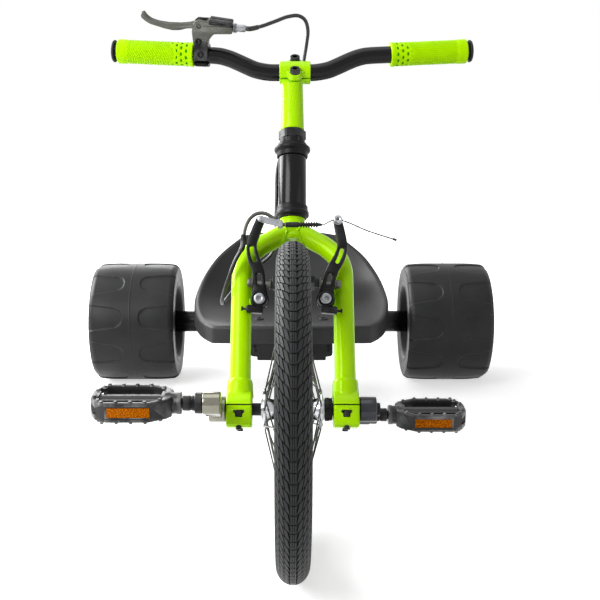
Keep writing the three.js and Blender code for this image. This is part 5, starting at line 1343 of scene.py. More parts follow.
def socketBolt(bm, radius, height, low, shank, socket, place=same):
    # a cap screw: rounded head with a hex socket, its shank down to low
    line = [(shank - 0.6, low), (shank, low + 0.6), (shank, 0), (radius, 0), (radius, height - 0.9),
            (radius - 0.3, height - 0.3), (radius - 0.9, height), (socket + 0.7, height)]
    hexRing = []
    for a in (math.tau * j / 24 for j in range(24)):
        reach = socket * (1 / math.cos((a + math.pi / 6) % (math.pi / 3) - math.pi / 6) * 0.95)
        hexRing.append((reach * math.cos(a), reach * math.sin(a)))
    rings = [circle(r, h, 24) for r, h in line]
    rings += [[(x, y, z) for x, y in hexRing] for z in (height - 0.4, height - 3.4)]
    skin(bm, rings, place=place)


stemTurn = shift(0, 0, trike["barHeight"]) @ clampTurn
lowerHalf = clampSolid(False)
lowerHalf.transform(stemTurn)
postLine = [(0, stem["low"]), (stem["base"], stem["low"]), (stem["base"] - 0.4, stem["low"] + 14),
            (stem["top"], 424), (stem["top"], stem["high"]), (0, stem["high"])]
post = cutFrom(shape(revolve, postLine, 64, same, 0.8),
               shape(box, -30, 30, -30, 30, -stem["gap"] / 2, 40, stemTurn, 0.05))
tools = [shape(rod, stem["bore"], -40, 40, 64, stemTurn @ alongX, 0),
         *boltHoles(stem["boltRadius"] + 0.3, -13.4, 24, stemTurn)]
pieceFrom(cutFrom(joined(lowerHalf, post), *tools), "stemPost", steering, "fork", "greenPaint", "stem")
pieceFrom(clampSolid(True), "stemCap", clampPlace, "fork", "greenPaint", "stem_cap")
for end, way in ends.items():
    bolt = shape(socketBolt, stem["head"], stem["headHeight"], -stem["seat"] - 13, stem["boltRadius"],
                 stem["socket"])
    pieceFrom(bolt, "stemBolt_" + end, clampPlace @ shift(0, way * stem["boltY"], stem["seat"]), "fork",
              "blackAlloy", "stem_bolt_" + end)


# Handlebar: a low rise in one double bend each side, then straight ends swept back
bar = {"radius": 11.1, "straight": (3, 40, 100, 130.7),
       "bends": ((0, 0), (0.1, 0), (0.2, 0), (0.26, 0.002), (0.34, 0.04), (0.46, 0.16), (0.57, 0.37),
                 (0.68, 0.6), (0.79, 0.81), (0.9, 0.95), (1, 1))}


def barShape(bm):
    half = [Vector((trike["barEndX"] * a, 0, trike["barEndZ"] * b)) for a, b in bar["bends"]]
    path = splineThrough([Vector((-p.x, 0, p.z)) for p in half[:0:-1]] + half, 120)
    toBar = (world.inverted() @ barPlace).inverted() @ world.inverted()
    for side in (-1, 1):
        tip = [toBar @ endPlace(side) @ Vector((side * s, 0, 0)) for s in bar["straight"]]
        path = tip[::-1] + path if side < 0 else path + tip
    sweep(bm, path, bar["radius"], 48)


pieceFrom(shape(barShape), "barTube", barPlace, "fork", "blackPaint", "handlebar")

# Grips: a collar, oval pits, a fine waffle between slanted ribs, and a plain end
grip = {"start": 24.5, "length": 103, "radius": 15.5, "collar": 15.9, "collarLength": 5, "plain": 15.2,
        "ring": 12, "bore": 11.4, "rows": 206, "around": 176, "pitAlong": 6.6, "pitAround": 11, "pitDepth": 1.1,
        "waffleAlong": 2.6, "waffleAround": 38, "waffleDepth": 0.24, "ribPitch": 2.3, "ribDepth": 0.4,
        "ribSlant": 6, "front": 0.75, "pitReach": 30, "pitWave": 9, "pitHalf": 1.7, "pitWide": 2.7,
        "darkFrom": 0.7, "inset": 1.2,
        "plug": ((0, 131.1), (13.4, 131.1), (14.6, 132), (14.6, 133.4), (13.6, 134.8), (12, 135.3),
                 (9.4, 135.3), (8.8, 134.7), (0, 134.9))}


def zigzag(turns):
    # 0 in the middle of a turn and 1 where it starts and ends
    return abs(turns % 1 - 0.5) * 2


def gripDepth(s, angle):
    # depth of the moulding at s from the inner end and the angle from the side that faces forward
    if s < grip["collarLength"] + 0.5 or s > grip["length"] - grip["plain"]:
        return 0.0
    reach = grip["pitReach"] - grip["pitWave"] * abs(math.sin(angle * 1.5))
    if s < reach + 3:
        column = int((s - grip["collarLength"]) // grip["pitAlong"])
        turnShare = grip["pitAround"] * angle / math.tau + 0.5 * (column % 2)
        across = (turnShare - round(turnShare)) * math.tau * grip["radius"] / grip["pitAround"]
        along = s - grip["collarLength"] - (column + 0.5) * grip["pitAlong"]
        spot = math.hypot(along / grip["pitHalf"], across / grip["pitWide"])
        return grip["pitDepth"] * clipped((1 - spot) * 2.5) if s < reach else 0.0
    if abs((angle + math.pi) % math.tau - math.pi) < grip["front"]:
        high = max(zigzag(s / grip["waffleAlong"]), zigzag(grip["waffleAround"] * angle / math.tau))
        return grip["waffleDepth"] * clipped(3 * (high - 0.6))
    turns = (s + grip["ribSlant"] * math.sin(angle)) / grip["ribPitch"]
    return grip["ribDepth"] * clipped(2.4 * (zigzag(turns) - 0.5))


def gripShape(bm, depths):
    rows, count = [], grip["around"]
    tips = [(grip["bore"], 0), (grip["collar"] - 0.8, 0), (grip["collar"], 0.8)]
    line = [(r, s, False) for r, s in tips]
    for i in range(grip["rows"] + 1):
        s = grip["inset"] + (grip["length"] - 2 * grip["inset"]) * i / grip["rows"]
        raised = s < grip["collarLength"] or s > grip["length"] - grip["ring"]
        line.append((grip["collar"] if raised else grip["radius"], s, True))
    line += [(r, grip["length"] - s, False) for r, s in tips[::-1]]
    for r, s, moulded in line:
        ring = []
        for a in (math.tau * j / count for j in range(count)):
            deep = gripDepth(s, a) if moulded else 0
            # the depth also sets the painted shade in the grooves
            depths.append(min(deep / grip["darkFrom"], 1))
            ring.append((grip["start"] + s, -(r - deep) * math.cos(a), (r - deep) * math.sin(a)))
        rows.append(ring)
    skin(bm, rows, along=True)


for name, side in sides.items():
    depths = []
    rubber = shape(gripShape, depths)
    piece = pieceFrom(rubber, "barGrip_" + name, gripPlace(side), "fork", "greenRubber", "grip_" + name,
                      sharp=60)
    addDepth(piece.data, depths)
    plug = shape(revolve, grip["plug"], 48, alongX, 0.3)
    pieceFrom(plug, "barPlug_" + name, gripPlace(side), "fork", "blackRubber", "bar_plug_" + name)
print("bar and grips done")


# Brake lever: a perch clamped on the bar, a blade on its pin and a cable adjuster
lever = {"perchX": 41, "perchZ": 51.5, "bladeX": 80, "bladeZ": 59.3, "half": 6.2, "bladeHalf": 3.7,
         "slotHalf": 4, "slotEnd": 8.4, "slotFloor": 32.5, "pivotX": -2.6, "pivotZ": 44.3, "boss": 7.4,
         "adjusterZ": 40.6, "bore": 11.4, "mark": (12, 39, 47.3, 48.3), "pinHole": 3.3, "pin": 2.2,
         "bladeEye": 6, "bladeHole": 2.5, "top": (10.5, 41.3, -6.7, 6.7, 44.4, 52.1),
         "topSlot": (5, 50, -1, 1, 49, 56), "topMark": (13, 50, -8, -6, 47.7, 48.7), "band": (-11.4, 7.4),
         "bandRadius": 15.2, "lugs": (-16.4, 0, -14.6, 23), "split": (-20, 20, -5, 5, -30, -10),
         "splitTurn": -50, "boltHead": (4.4, 2.6, -6, 2.4, 1.9), "boltY": -16,
         "bolts": {"upper": (-5, 17.2), "lower": (-2, 0.8)},
         "barrelEnd": ((6.1, 45.9), (4.9, 46.4), (4.7, 48), (4.2, 48.4), (4.2, 49.2), (4.7, 49.6), (4.6, 56.6),
                       (4, 57.6), (0, 57.6))}
perchPoints = ((-0.293, 0.233), (0.122, 0.233), (0.171, 0.427), (0.39, 0.65), (1, 0.67), (1, 0.909), (0.22, 1),
               (-0.049, 1), (-0.244, 0.932), (-0.317, 0.699))
bladePoints = ((0.075, 0.658), (-0.163, 0.654), (-0.25, 0.648), (-0.36, 0.598), (-0.487, 0.592),
               (-0.613, 0.625), (-0.775, 0.69), (-0.863, 0.726), (-0.938, 0.8), (-1, 0.885), (-0.975, 0.987),
               (-0.925, 1), (-0.887, 0.902), (-0.812, 0.826), (-0.7, 0.781), (-0.537, 0.752), (-0.338, 0.755),
               (-0.2, 0.779), (-0.1, 0.818), (0.025, 0.843), (0.075, 0.776))
pivotAxis = shift(lever["pivotX"], 0, lever["pivotZ"]) @ alongY
topTurn = turnAbout(26, 48, 6.5)


def leverPlate(points, wide, high, half, radius, bevel, steps=3):
    outline = softened([(wide * a, high * b) for a, b in points], radius, steps=steps)
    return shape(plate, outline, -half, half, inXZ, (), bevel)


half, mark = lever["half"], lever["mark"]
perch = joined(leverPlate(perchPoints, lever["perchX"], lever["perchZ"], half, 3, 1.0),
               shape(rod, lever["boss"], -half, half, 40, pivotAxis, 0.8))
perch = cutFrom(perch, shape(box, -50, lever["slotEnd"], -lever["slotHalf"], lever["slotHalf"],
                             lever["slotFloor"], 60, same, 0.3),
                shape(rod, lever["bore"], -40, 40, 56, alongX, 0),
                shape(box, *mark[:2], -8, -half + 0.7, *mark[2:], same, 0.05),
                shape(rod, lever["pinHole"], -8, -half + 1.2, 28, pivotAxis, 0))
perch = joined(perch, shape(rod, lever["pin"], -half + 0.8, half, 24, pivotAxis, 0.2))
pieceFrom(perch, "leverPerch", leverPlace, "fork", "darkAlloy", "lever_perch")
top = cutFrom(shape(box, *lever["top"], topTurn, 1.2), shape(box, *lever["topSlot"], same, 0.05),
              shape(box, *lever["topMark"], topTurn, 0.05))
pieceFrom(top, "perchTop", leverPlace, "fork", "blackAlloy")
low, high = lever["band"]
band = joined(shape(rod, lever["bandRadius"], low, high, 56, alongX, 1),
              shape(box, low, high, *lever["lugs"], same, 2.4))
band = cutFrom(band, shape(rod, lever["bore"], -40, 40, 56, alongX, 0),
               shape(box, *lever["split"], turn("X", lever["splitTurn"]), 0.05))
pieceFrom(band, "perchClamp", perchEnd, "fork", "blackAlloy")
for name, (x, z) in lever["bolts"].items():
    pieceFrom(shape(socketBolt, *lever["boltHead"]), "perchBolt_" + name,
              perchEnd @ shift(x, lever["boltY"], z) @ turn("X", 90), "fork", "blackSteel")
half = lever["bladeHalf"]
blade = joined(leverPlate(bladePoints, lever["bladeX"], lever["bladeZ"], half, 5, 1.9, 4),
               shape(rod, lever["bladeEye"], -half, half, 40, pivotAxis, 0.6))
pieceFrom(cutFrom(blade, shape(rod, lever["bladeHole"], -9, 9, 24, pivotAxis, 0)), "leverBlade", leverPlace,
          "brake_lever", "darkAlloy", "brake_lever")
barrel = [(0, 41.4), (5.2, 41.4), (6.2, 42.2)]
for i in range(4):
    barrel += [(6.2, 42.3 + i * 0.9), (5.7, 42.7 + i * 0.9)]
barrel += lever["barrelEnd"]
pieceFrom(shape(revolve, barrel, 40, shift(0, 0, lever["adjusterZ"]) @ alongX), "cableAdjuster", leverPlace,
          "fork", "steel", "cable_adjuster")
print("lever done")


# Rim brake: bowed arms with two slots, pads on studs, pivot bolts
brake = {"bow": 15.5, "length": 100, "front": -52.6, "back": -44.6, "hubFront": -56.6, "middle": -48.6,
         "hub": 10.2, "holder": 11.4, "slot": 2.5, "slots": ((16.5, 34.5), (44.5, 66.5)), "padRise": 20.5,
         "rimHalf": 14, "padGap": 1.3, "leftMore": 2.8, "padThick": 9, "padHalf": 26, "padHigh": 4.5,
         "padCuts": (-17, -8, 8, 17), "studHole": 3.4, "discRadius": 6.2, "nutGap": 2.1, "nut": 5.6,
         "pivotBolt": (6.6, 4, -26, 4, 2.6), "pivotHole": 4.4, "armStudHole": 3.5, "wireHole": 2.3,
         "springBox": (-5.5, 15), "springZ": (-17, -8), "springPin": (0, -50.6, -12.5),
         "springMarks": (11, 12.2, 13.4)}
armPoints = ((-0.02, -0.08, 0.09), (0, 0, 0.102), (0.12, 0.2, 0.075), (0.38, 0.38, 0.075), (0.84, 0.54, 0.072),
             (1, 0.68, 0.062), (0.78, 0.84, 0.06), (0.48, 1, 0.055))
armLine = curveOf([(brake["bow"] * out, brake["length"] * up, brake["length"] * wide)
                   for out, up, wide in armPoints])
studPlace = shift(0, brake["middle"], brake["padRise"]) @ alongX


def mirrorFor(side):
    return Matrix.Diagonal((side, 1, 1, 1))


def armShape():
    steps = [armLine(t) for t in np.linspace(0, 1, 53)]
    left, right = [], []
    for i, (x, z, wide) in enumerate(steps):
        before, after = steps[max(i - 1, 0)], steps[min(i + 1, len(steps) - 1)]
        dx, dz = after[0] - before[0], after[1] - before[1]
        size = math.hypot(dx, dz)
        left.append((x + wide * dz / size, z - wide * dx / size))
        right.append((x - wide * dz / size, z + wide * dx / size))
    topX, topZ, topWide = steps[-1]
    cap = arcOf(topWide, 0.3, math.pi - 0.1, 9, topX, topZ)
    holes, half = [], brake["slot"]
    for low, high in brake["slots"]:
        inside = [(x, z) for x, z, wide in steps if low + half < z < high - half]
        holes.append([(x + half, z) for x, z in inside] + arcOf(half, 0.4, math.pi - 0.4, 6, *inside[-1])
                     + [(x - half, z) for x, z in inside[::-1]]
                     + arcOf(half, math.pi + 0.4, math.tau - 0.4, 6, *inside[0]))
    front, back = brake["front"], brake["back"]
    whole = shape(plate, left + cap + right[::-1], -back, -front, inXZ, holes, 1.3)
    hub, face, springPlace = brake["hub"], brake["hubFront"], shift(*brake["springPin"]) @ alongX
    hubLine = [(0, back), (hub, back), (hub, face + 2), (hub - 0.8, face), (hub - 2.2, face),
               (hub - 2.6, face + 0.8), (0, face + 0.8)]
    whole = joined(whole, shape(revolve, hubLine, 56, alongY),
                   shape(rod, brake["holder"], back - 5, back, 56, alongY, 0.8),
                   shape(box, *brake["springBox"], face, back, *brake["springZ"], same, 1.6),
                   shape(rod, 1.5, 14, 21, 20, springPlace, 0.2),
                   shape(rod, 2.9, 19.2, 21.2, 24, springPlace, 0.5))
    for x in brake["springMarks"]:
        whole = cutFrom(whole, shape(box, x, x + 0.5, -60, -50, -18, -16.4, same, 0.05))
    studHole = shape(rod, brake["armStudHole"], -24, 24, 24, studPlace, 0)
    topHole = shape(rod, brake["wireHole"], -60, -40, 24, shift(topX, 0, topZ) @ alongY, 0)
    return cutFrom(whole, shape(rod, brake["pivotHole"], -60, -40, 28, alongY, 0), studHole, topHole)


def padShape(side):
    # rubber block on its stud: x outward, the block kept upright
    inner = brake["rimHalf"] + brake["padGap"] + (brake["leftMore"] if side > 0 else 0) - trike["brakeX"]
    tilt, middle, high = math.radians(side * trike["brakeTilt"]), brake["middle"], brake["padHigh"]
    rise = brake["padRise"] * math.cos(tilt)
    block = shape(box, inner, inner + brake["padThick"], middle - brake["padHalf"], middle + brake["padHalf"],
                  rise - high, rise + high, same, 1.6)
    block = cutFrom(block, *[shape(box, inner - 1, inner + 2.4, middle + y - 0.7, middle + y + 0.7, rise - 9,
                                   rise + 9, same, 0.05) for y in brake["padCuts"]])
    block.transform(turn("Y", -math.degrees(tilt)))
    line = [(0, inner + 6), (5.6, inner + 6), (5.6, inner + 11.6), (4.4, inner + 12.4), (0, inner + 12.4)]
    return joined(block, shape(revolve, line, 32, studPlace, 0.3)), inner


armStart = armLine(2 / 7)
nutStart = armStart[0] + armStart[2] + brake["nutGap"]
for name, side in sides.items():
    arm = armShape()
    arm.transform(mirrorFor(side))
    pieceFrom(arm, "brakeArm_" + name, armPlace(side), "brake_arm_" + name, "blackAlloy", "brake_arm_" + name)
    rubber, inner = padShape(side)
    rubber.transform(mirrorFor(side))
    pieceFrom(rubber, "brakePad_" + name, armPlace(side), "brake_arm_" + name, "blackRubber",
              "brake_pad_" + name)
    place, hole = mirrorFor(side) @ studPlace, brake["studHole"]
    stud = shape(revolve, [(0, inner + 12), (3.2, inner + 12), (3.2, 16.4), (2.6, 17), (0, 17)], 28, place)
    washer(stud, hole, brake["discRadius"], inner + 12.8, inner + 14.4, 36, place)
    washer(stud, hole, brake["discRadius"] + 0.4, nutStart - 1.6, nutStart - 0.2, 36, place)
    hexagon(stud, brake["nut"], nutStart, nutStart + 5, place, hole, 0.6)
    pieceFrom(stud, "padStud_" + name, armPlace(side), "brake_arm_" + name, "darkAlloy")
    head = shift(side * trike["brakeX"], brake["hubFront"] - 0.3, trike["brakeZ"]) @ turn("X", 90)
    pieceFrom(shape(socketBolt, *brake["pivotBolt"]), "brakePivot_" + name, steering @ head, "fork", "steel",
              "brake_pivot_bolt_" + name)
print("brake arms done")


# Cable run: the bent pipe and its link, the rubber boot, the inner wire and the outer cable
cable = {"radius": 2.5, "noodle": 2.4, "height": 226.5, "nose": (222.3, 230.7), "bootStart": -8.7, "plain": 17,
         "ribs": 7, "ribPitch": 3.2, "rib": 3.7, "root": 2.1, "tip": 6.4, "wire": 0.8, "still": 300,
         "squeezed": 0.62, "tailX": 127, "tailDrop": 26, "core": 0.82, "strand": 0.36, "lay": 0.66,
         "twist": 0.42, "capOver": 0.7, "turning": (475, 206), "fixed": (345, 264),
         "ferrule": ((2.5, 0), (3.4, 0.3), (3.6, 1), (3.6, 6), (3.2, 7.2), (2.7, 8), (2.3, 8), (2.3, 0))}


def armTop(side):
    x, z, _ = armLine(1)
    angle = side * math.radians(trike["brakeTilt"])
    out, up = x * math.cos(angle) + z * math.sin(angle), z * math.cos(angle) - x * math.sin(angle)
    return side * (trike["brakeX"] + out), trike["brakeZ"] + up


rightX, rightZ = armTop(-1)
leftX, leftZ = armTop(1)
bendRoute = ((-60.5, 206), (-59.4, 216), (-56.5, 227), (-51, 236), (-43, 240.9), (-34, 240.9), (-26, 236.6),
             (-19, 230.4), (-14, 227), (-9, 226.5))
middleY, frontY = brake["middle"], brake["front"] - 0.3
pipe = shape(sweep, splineThrough([(x, middleY, z) for x, z in bendRoute], 90), cable["noodle"], 32)
low, high = cable["nose"]
link = softened([(rightX, rightZ + 4.4), (rightX - 4.2, rightZ), (rightX, rightZ - 4.4), (-16, low), (-12, low),
                 (-12, high), (-16, high)], 2.2)
linkPlate = shape(plate, link, -frontY, -frontY + 2, inXZ, (), 0.6)
nose = shape(box, -18, -12, frontY - 2, middleY + 4.5, low, high, same, 1.1)
pinLine = [(0, frontY - 4.4), (2.6, frontY - 4.4), (4, frontY - 3.4), (4, frontY - 0.4), (2, frontY - 0.3),
           (2, middleY), (0, middleY)]
pin = shape(revolve, pinLine, 32, shift(rightX, 0, rightZ) @ alongY)
pieceFrom(joined(linkPlate, nose, pin), "cableNoodle", steering, "brake_arm_right", "steel", "cable_noodle")
pieceFrom(pipe, "noodlePipe", steering, "brake_arm_right", "darkAlloy")
pieceFrom(shape(revolve, closedLine(cable["ferrule"]), 32, shift(-60.5, middleY, 205.6)), "noodleFerrule",
          steering, "brake_arm_right", "blackAlloy")

bootX = cable["bootStart"]
line = [(0, bootX), (2.6, bootX), (3.2, bootX + 0.5), (3.3, bootX + 2), (3.1, bootX + 3), (3.3, bootX + 4),
        (3.3, bootX + cable["plain"] - 1)]
root, rib, tip = cable["root"], cable["rib"], cable["tip"]
for i in range(cable["ribs"]):
    start = bootX + cable["plain"] + i * cable["ribPitch"]
    line += [(root, start + 0.2), (root, start + 1.2), (rib, start + 1.6), (rib, start + 2.7)]
ribsEnd = bootX + cable["plain"] + cable["ribs"] * cable["ribPitch"]
line += [(root, ribsEnd + 0.5), (2.2, ribsEnd + 2), (1.3, ribsEnd + 5.5), (1.2, ribsEnd + tip),
         (0, ribsEnd + tip)]
boot = pieceFrom(shape(revolve, line, 40, shift(0, middleY, cable["height"]) @ alongX), "cableBoot", steering,
                 "brake_arm_right", "blackRubber", "cable_boot")
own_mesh(boot)

wireY = frontY - 2.5
wireEnd = ribsEnd + cable["tip"] + 0.9
wirePath = [(wireEnd, middleY, cable["height"]), (leftX - 6.2, wireY, leftZ - 0.8), (leftX, wireY, leftZ),
            (leftX + 12.4, wireY, leftZ - 3.6), ((leftX + cable["tailX"]) / 2, wireY, leftZ - 14),
            (cable["tailX"], wireY, leftZ - cable["tailDrop"])]


def strandedWire(bm, path, radius):
    # six fine strands laid in a helix round a core
    frames = framesAlong(path)
    for k in range(6):
        turns = [math.tau * k / 6 + i * cable["twist"] for i in range(len(path))]
        strand = [point + (side * math.cos(a) + up * math.sin(a)) * radius * cable["lay"]
                  for a, (point, side, up) in zip(turns, frames)]
        sweep(bm, strand, radius * cable["strand"], 5)
    sweep(bm, path, radius * cable["core"], 8)


wires = bmesh.new()
wireLine = splineThrough(wirePath, 150)
strandedWire(wires, wireLine, cable["wire"])
tail = wireLine[-1]
back = (wireLine[-6] - tail).normalized()
sweep(wires, [tail + back * 5, tail + back * 4.6, tail + back * 0.4, tail], [1.1, 1.5, 1.5, 0.9], 16)
anchorLine = [(0, middleY), (2, middleY), (2, frontY - 0.2), (6.2, frontY - 0.2), (6.2, frontY - 1.6),
              (5.6, frontY - 1.8), (6, frontY - 2), (6, frontY - 2.6), (0, frontY - 2.6)]
anchor = joined(shape(socketBolt, 5.2, 3.4, -3, 2, 2.2, shift(leftX, frontY - 2.6, leftZ) @ turn("X", 90)),
                shape(revolve, anchorLine, 40, shift(leftX, 0, leftZ) @ alongY))
pieceFrom(anchor, "wireAnchor", steering, "brake_arm_left", "chrome", "wire_anchor_bolt")
pieceFrom(wires, "innerWire", steering, "brake_arm_left", "spokeSteel", fix=False)

cableRoute = ((-41, -27, 501), (-22, -20, 512), (-6, -13, 522), (8, -7, 526.5), (17, 0, 524), (21, 8, 514),
              (19.5, 17, 499), (16, 24, 479), (12, 27.5, 450), (7, 28, 415), (0, 29, 385), (-9, 31, 358),
              (-18, 32.5, 335), (-20.5, 32, 315), (-20.8, 31.5, 290), (-21.5, 33, 262), (-21.5, 35, 234),
              (-26, 37.5, 212), (-38, 40, 200), (-54, 40, 189), (-69, 36, 172), (-80, 26, 154), (-87, 11, 141),
              (-88.5, -7, 137), (-85, -26, 145), (-78, -39, 162), (-70, -46, 182))
fromPerch = steering.inverted() @ leverPlace
cableStart = [fromPerch @ Vector((x, 0, lever["adjusterZ"])) for x in (58.3, 63.3)]
cablePath = splineThrough([*cableStart, *cableRoute, (-61.1, middleY, 198.5), (-60.5, middleY, 205.7)], 520)


def cableShape(bm, first, last):
    count = len(cablePath)
    radii = [cable["radius"] + (cable["capOver"] if i < 16 or i > count - 12 else 0) for i in range(count)]
    sweep(bm, cablePath[first:last + 1], radii[first:last + 1], 24)


# The cable's middle lies beside the head tube, where it is cut in two; each piece is given the fork, the frame
# and two points, and is left baked in place
cableMiddle = next(i for i, point in enumerate(cablePath) if point.y > 20 and point.z < cable["still"])
spans = (("brakeCable", 0, cableMiddle), ("brakeCableLower", cableMiddle, len(cablePath) - 1))
for (name, first, last), turning, still in zip(spans, cable["turning"], cable["fixed"]):
    body = ("fork", "frame", steering @ Vector((0, 0, turning)), steering @ Vector((0, 0, still)))
    pieceFrom(shape(cableShape, first, last), name, steering, body, "cableSheath", "brake_cable")
print("cable done")


# Cranks, front axle, pedal spindles and pedals
# each arm gets its own copy of the crank chrome: painted light on the right arm, painted shade on the left
crank = {"inner": 79, "outer": 99, "boss": 15, "eye": 12.5, "waist": 8.5, "thin": 6.5, "square": 5.6,
         "eyeBore": 5.8, "finish": {"left": "crankPaintedShade", "right": "crankPaintedLight"},
         "groove": ((22, -3.4), (66, -3), (66, 3), (22, 3.4)),
         "axle": ((0, -78.7), (7, -78.7), (7.5, -78.2), (7.5, 78.2), (7, 78.7), (0, 78.7)),
         "axleEnd": (78.5, 98.7, 5.3),
         "plate": ((7.9, 37.8), (13.2, 37.8), (14, 38.4), (14, 42.6), (13.4, 43.2), (13.3, 46.2), (12.7, 46.8),
                   (7.9, 46.8)),
         "spindle": ((0, 79.3), (5.2, 79.3), (5.5, 80), (5.5, 99.3), (11, 99.3), (11.6, 100), (11.6, 106.6),
                     (11, 107.3), (8.4, 107.6), (8.4, 110), (7.9, 110.6), (7.9, 112), (8.4, 112.6),
                     (8.4, 119.8), (8, 120.3), (5.5, 120.3), (5.5, 208.4), (4.9, 209), (0, 209))}
pedal = {"inner": 131.5, "width": 88, "half": 31, "high": 11, "chamfer": 15, "taper": 24, "neck": 12.3,
         "neckLine": ((0, -9.5), (11.6, -9.5), (12.3, -8.8), (12.3, -5), (11.6, -4), (11.6, 2), (12.3, 4),
                      (12.3, 8), (0, 8)),
         "barrel": 9.5, "barrelCut": 6.8, "wall": 6.5, "reflectorX": 176, "reflectorHalf": 23,
         "reflectorHigh": 5.5, "stud": 2.1, "studHigh": 2.1, "pocketDepth": 5,
         "panel": (31, 27.9, 7.6, 1.3), "endWindow": (-9, 9, -5.6, 5.6),
         "cornerWindow": (-4.2, 4.2, -9, 9, -5, 5), "cornerTurn": 63.4, "bore": 5.9, "boreEnd": 209.6,
         "studStart": 27, "studPitch": 15.5}


def crankShape(side):
    x0, x1, y1 = crank["inner"], crank["outer"], trike["crank"]
    mid, thin, square = (x0 + x1) / 2, crank["thin"], crank["square"]
    half = [(t * y1, crank["waist"] + 3 * (1 - t) ** 2 + 0.8 * t ** 2)
            for t in (step / 12 for step in range(13))]
    outline = half + [(y, -z) for y, z in half[::-1]]
    eye = shift(0, y1, 0) @ alongX
    whole = joined(shape(rod, crank["boss"], x0, x1, 64, alongX, 1.6),
                   shape(rod, crank["eye"], x0, x1, 56, eye, 1.6),
                   shape(plate, outline, mid - thin, mid + thin, inYZ, (), 2))
    groove = softened(crank["groove"], 2.9)
    whole = cutFrom(whole, shape(plate, groove, mid + thin - 1.6, mid + thin + 3, inYZ, (), 0.3),
                    shape(box, x0 - 5, x1 + 5, -square, square, -square, square, same, 0.6),
                    shape(rod, crank["eyeBore"], x0 - 5, x1 + 5, 28, eye, 0))
    whole.transform(mirrorFor(side))
    return whole


def crankBolt(bm):
    line = [(0, -6), (4.4, -6), (4.4, 0), (8, 0), (8, 3.2), (7.3, 4.2), (4.4, 4.6), (3.9, 4.2), (3.9, 1),
            (0, 1)]
    revolve(bm, [(r, crank["outer"] + 0.3 + h) for r, h in line], 48, alongX)


def pedalShape():
    x0, x1, y, c = pedal["inner"], pedal["inner"] + pedal["width"], pedal["half"], pedal["chamfer"]
    high, wall = pedal["high"], pedal["wall"]
    near = [(x0, -pedal["neck"]), (x0 + 5, -y + 11), (x0 + pedal["taper"], -y), (x1 - c - 4, -y),
            (x1 - 6, -y + 8), (x1, -y + c + 5)]
    outline = softened(near + [(x, -yy) for x, yy in near[::-1]], 1.4)
    w0, w1, outer, tube, cut = x0 + wall * 1.5, x1 - wall, y - wall, pedal["barrel"], pedal["barrelCut"]
    window = [(w0, tube), (w1, tube), (w1, y - c), (w1 - c / 2, outer), (w0 + c, outer), (w0, y - c)]
    windows = [softened([(x, way * yy) for x, yy in window], 2.4) for way in ends.values()]
    whole = shape(plate, outline, -high, high, same, windows, 1.3)
    pockets = []
    for way in ends.values():  # one for the reflector itself and a shallow one round it
        x, reach = pedal["reflectorX"], pedal["reflectorHalf"] + 0.3
        pocket = (reach, reach, pedal["reflectorHigh"] + 0.3, pedal["pocketDepth"])
        for before, after, tall, depth in (pocket, pedal["panel"]):
            near, far = sorted((way * (y - depth), way * (y + 8)))
            pockets.append(shape(box, x - before, x + after, near, far, -tall, tall, same, 0.05))
    pockets.append(shape(box, x1 - wall - 3, x1 + 5, *pedal["endWindow"], same, 1.2))
    for way in ends.values():  # a small window in each corner of the outer end
        corner = shift(x1 - 3, way * (y - 14), 0) @ turn("Z", way * pedal["cornerTurn"])
        pockets.append(shape(box, *pedal["cornerWindow"], corner, 1.2))
    for low, up in ((cut, 20), (-20, -cut)):
        pockets.append(shape(box, w0 + 2, w1 - 2, -tube - 0.5, tube + 0.5, low, up, same, 0.05))
    whole = joined(cutFrom(whole, *pockets), shape(rod, tube - 0.6, x0, x1 - wall, 48, alongX, 0.5),
                   shape(revolve, [(r, x0 + h) for r, h in pedal["neckLine"]], 56, alongX))
    return cutFrom(whole, shape(rod, pedal["bore"], x0 - 14, pedal["boreEnd"], 32, alongX, 0))


def pedalStud(bm):
    r = pedal["stud"]
    rings = ((r + 0.9, -0.8), (r + 0.6, 0.3), (r, 1.0), (r * 0.85, pedal["studHigh"]))
    skin(bm, [circle(*ring, 10) for ring in rings])


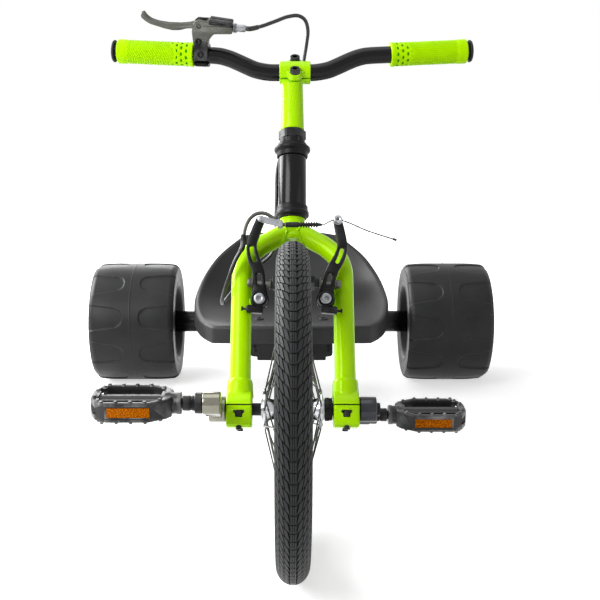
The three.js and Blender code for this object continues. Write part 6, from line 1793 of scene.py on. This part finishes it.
def studPlaces():
    x0, x1, y = pedal["inner"], pedal["inner"] + pedal["width"], pedal["half"]
    places = []
    for way in ends.values():
        spots = [(x0 + pedal["studStart"] + i * pedal["studPitch"], way * (y - 3.6)) for i in range(4)]
        spots += [(x0 + 11.6, way * (y - 11)), (x1 - 10, way * (y - 10)), (x1 - 4.4, way * (y - 21)),
                  (x0 + 38 + (way + 1) * 11, 0)]
        for x, yy in spots:
            low = (pedal["high"] if yy else pedal["barrelCut"]) - 0.2
            places += [shift(x, yy, low), shift(x, yy, -low) @ turn("X", 180)]
    return places


def reflectorShape(way):
    x, half, tall = pedal["reflectorX"], pedal["reflectorHalf"], pedal["reflectorHigh"]
    ya, yb = sorted((way * (pedal["half"] - 4.7), way * (pedal["half"] - 0.9)))
    return shape(box, x - half, x + half, ya, yb, -tall, tall, same, 0.5)


def axleShape(bm):
    revolve(bm, crank["axle"], 36, alongX)
    near, far, half = crank["axleEnd"]
    for low, high in ((-far, -near), (near, far)):
        box(bm, low, high, -half, half, -half, half, same, 0.7)


pieceFrom(shape(axleShape), "frontAxle", axlePlace, "crankset", "blackSteel", "front_axle")
notches = [shape(box, 40, 50, 12.6, 16, -1.2, 1.2, turn("X", 60 * i), 0.05) for i in range(6)]
driver = cutFrom(shape(revolve, closedLine(crank["plate"]), 64, alongX), *notches)
pieceFrom(driver, "drivePlate", axlePlace, "crankset", "blackSteel", "drive_plate")
for name, side in sides.items():
    away, cage, onPedal = outwardTurn(side), pedalPlace(side), "pedal_" + name
    pieceFrom(crankShape(side), "crankArm_" + name, crankPlace(side), "crankset", crank["finish"][name],
              "crank_" + name)
    pieceFrom(shape(crankBolt), "crankBolt_" + name, axlePlace @ away, "crankset", "blackSteel",
              "crank_bolt_" + name)
    pieceFrom(shape(revolve, crank["spindle"], 48, alongX), "pedalSpindle_" + name,
              crankPlace(side) @ shift(0, trike["crank"], 0) @ away, "crankset", "blackAlloy",
              "pedal_spindle_" + name)
    pieceFrom(pedalShape(), "pedalCage_" + name, cage, onPedal, "pedalPlastic", "pedal_" + name)
    studs = onSpots(shape(pedalStud), "pedalPlastic", studPlaces())
    studs.transform(cage)
    settled(studs, "pedalStuds_" + name, onPedal, "pedalPlastic")
    for end, way in ends.items():
        pieceFrom(reflectorShape(way), f"reflector_{name}_{end}", cage, onPedal, "amber",
                  f"pedal_reflector_{name}_{end}")
print("cranks and pedals done")
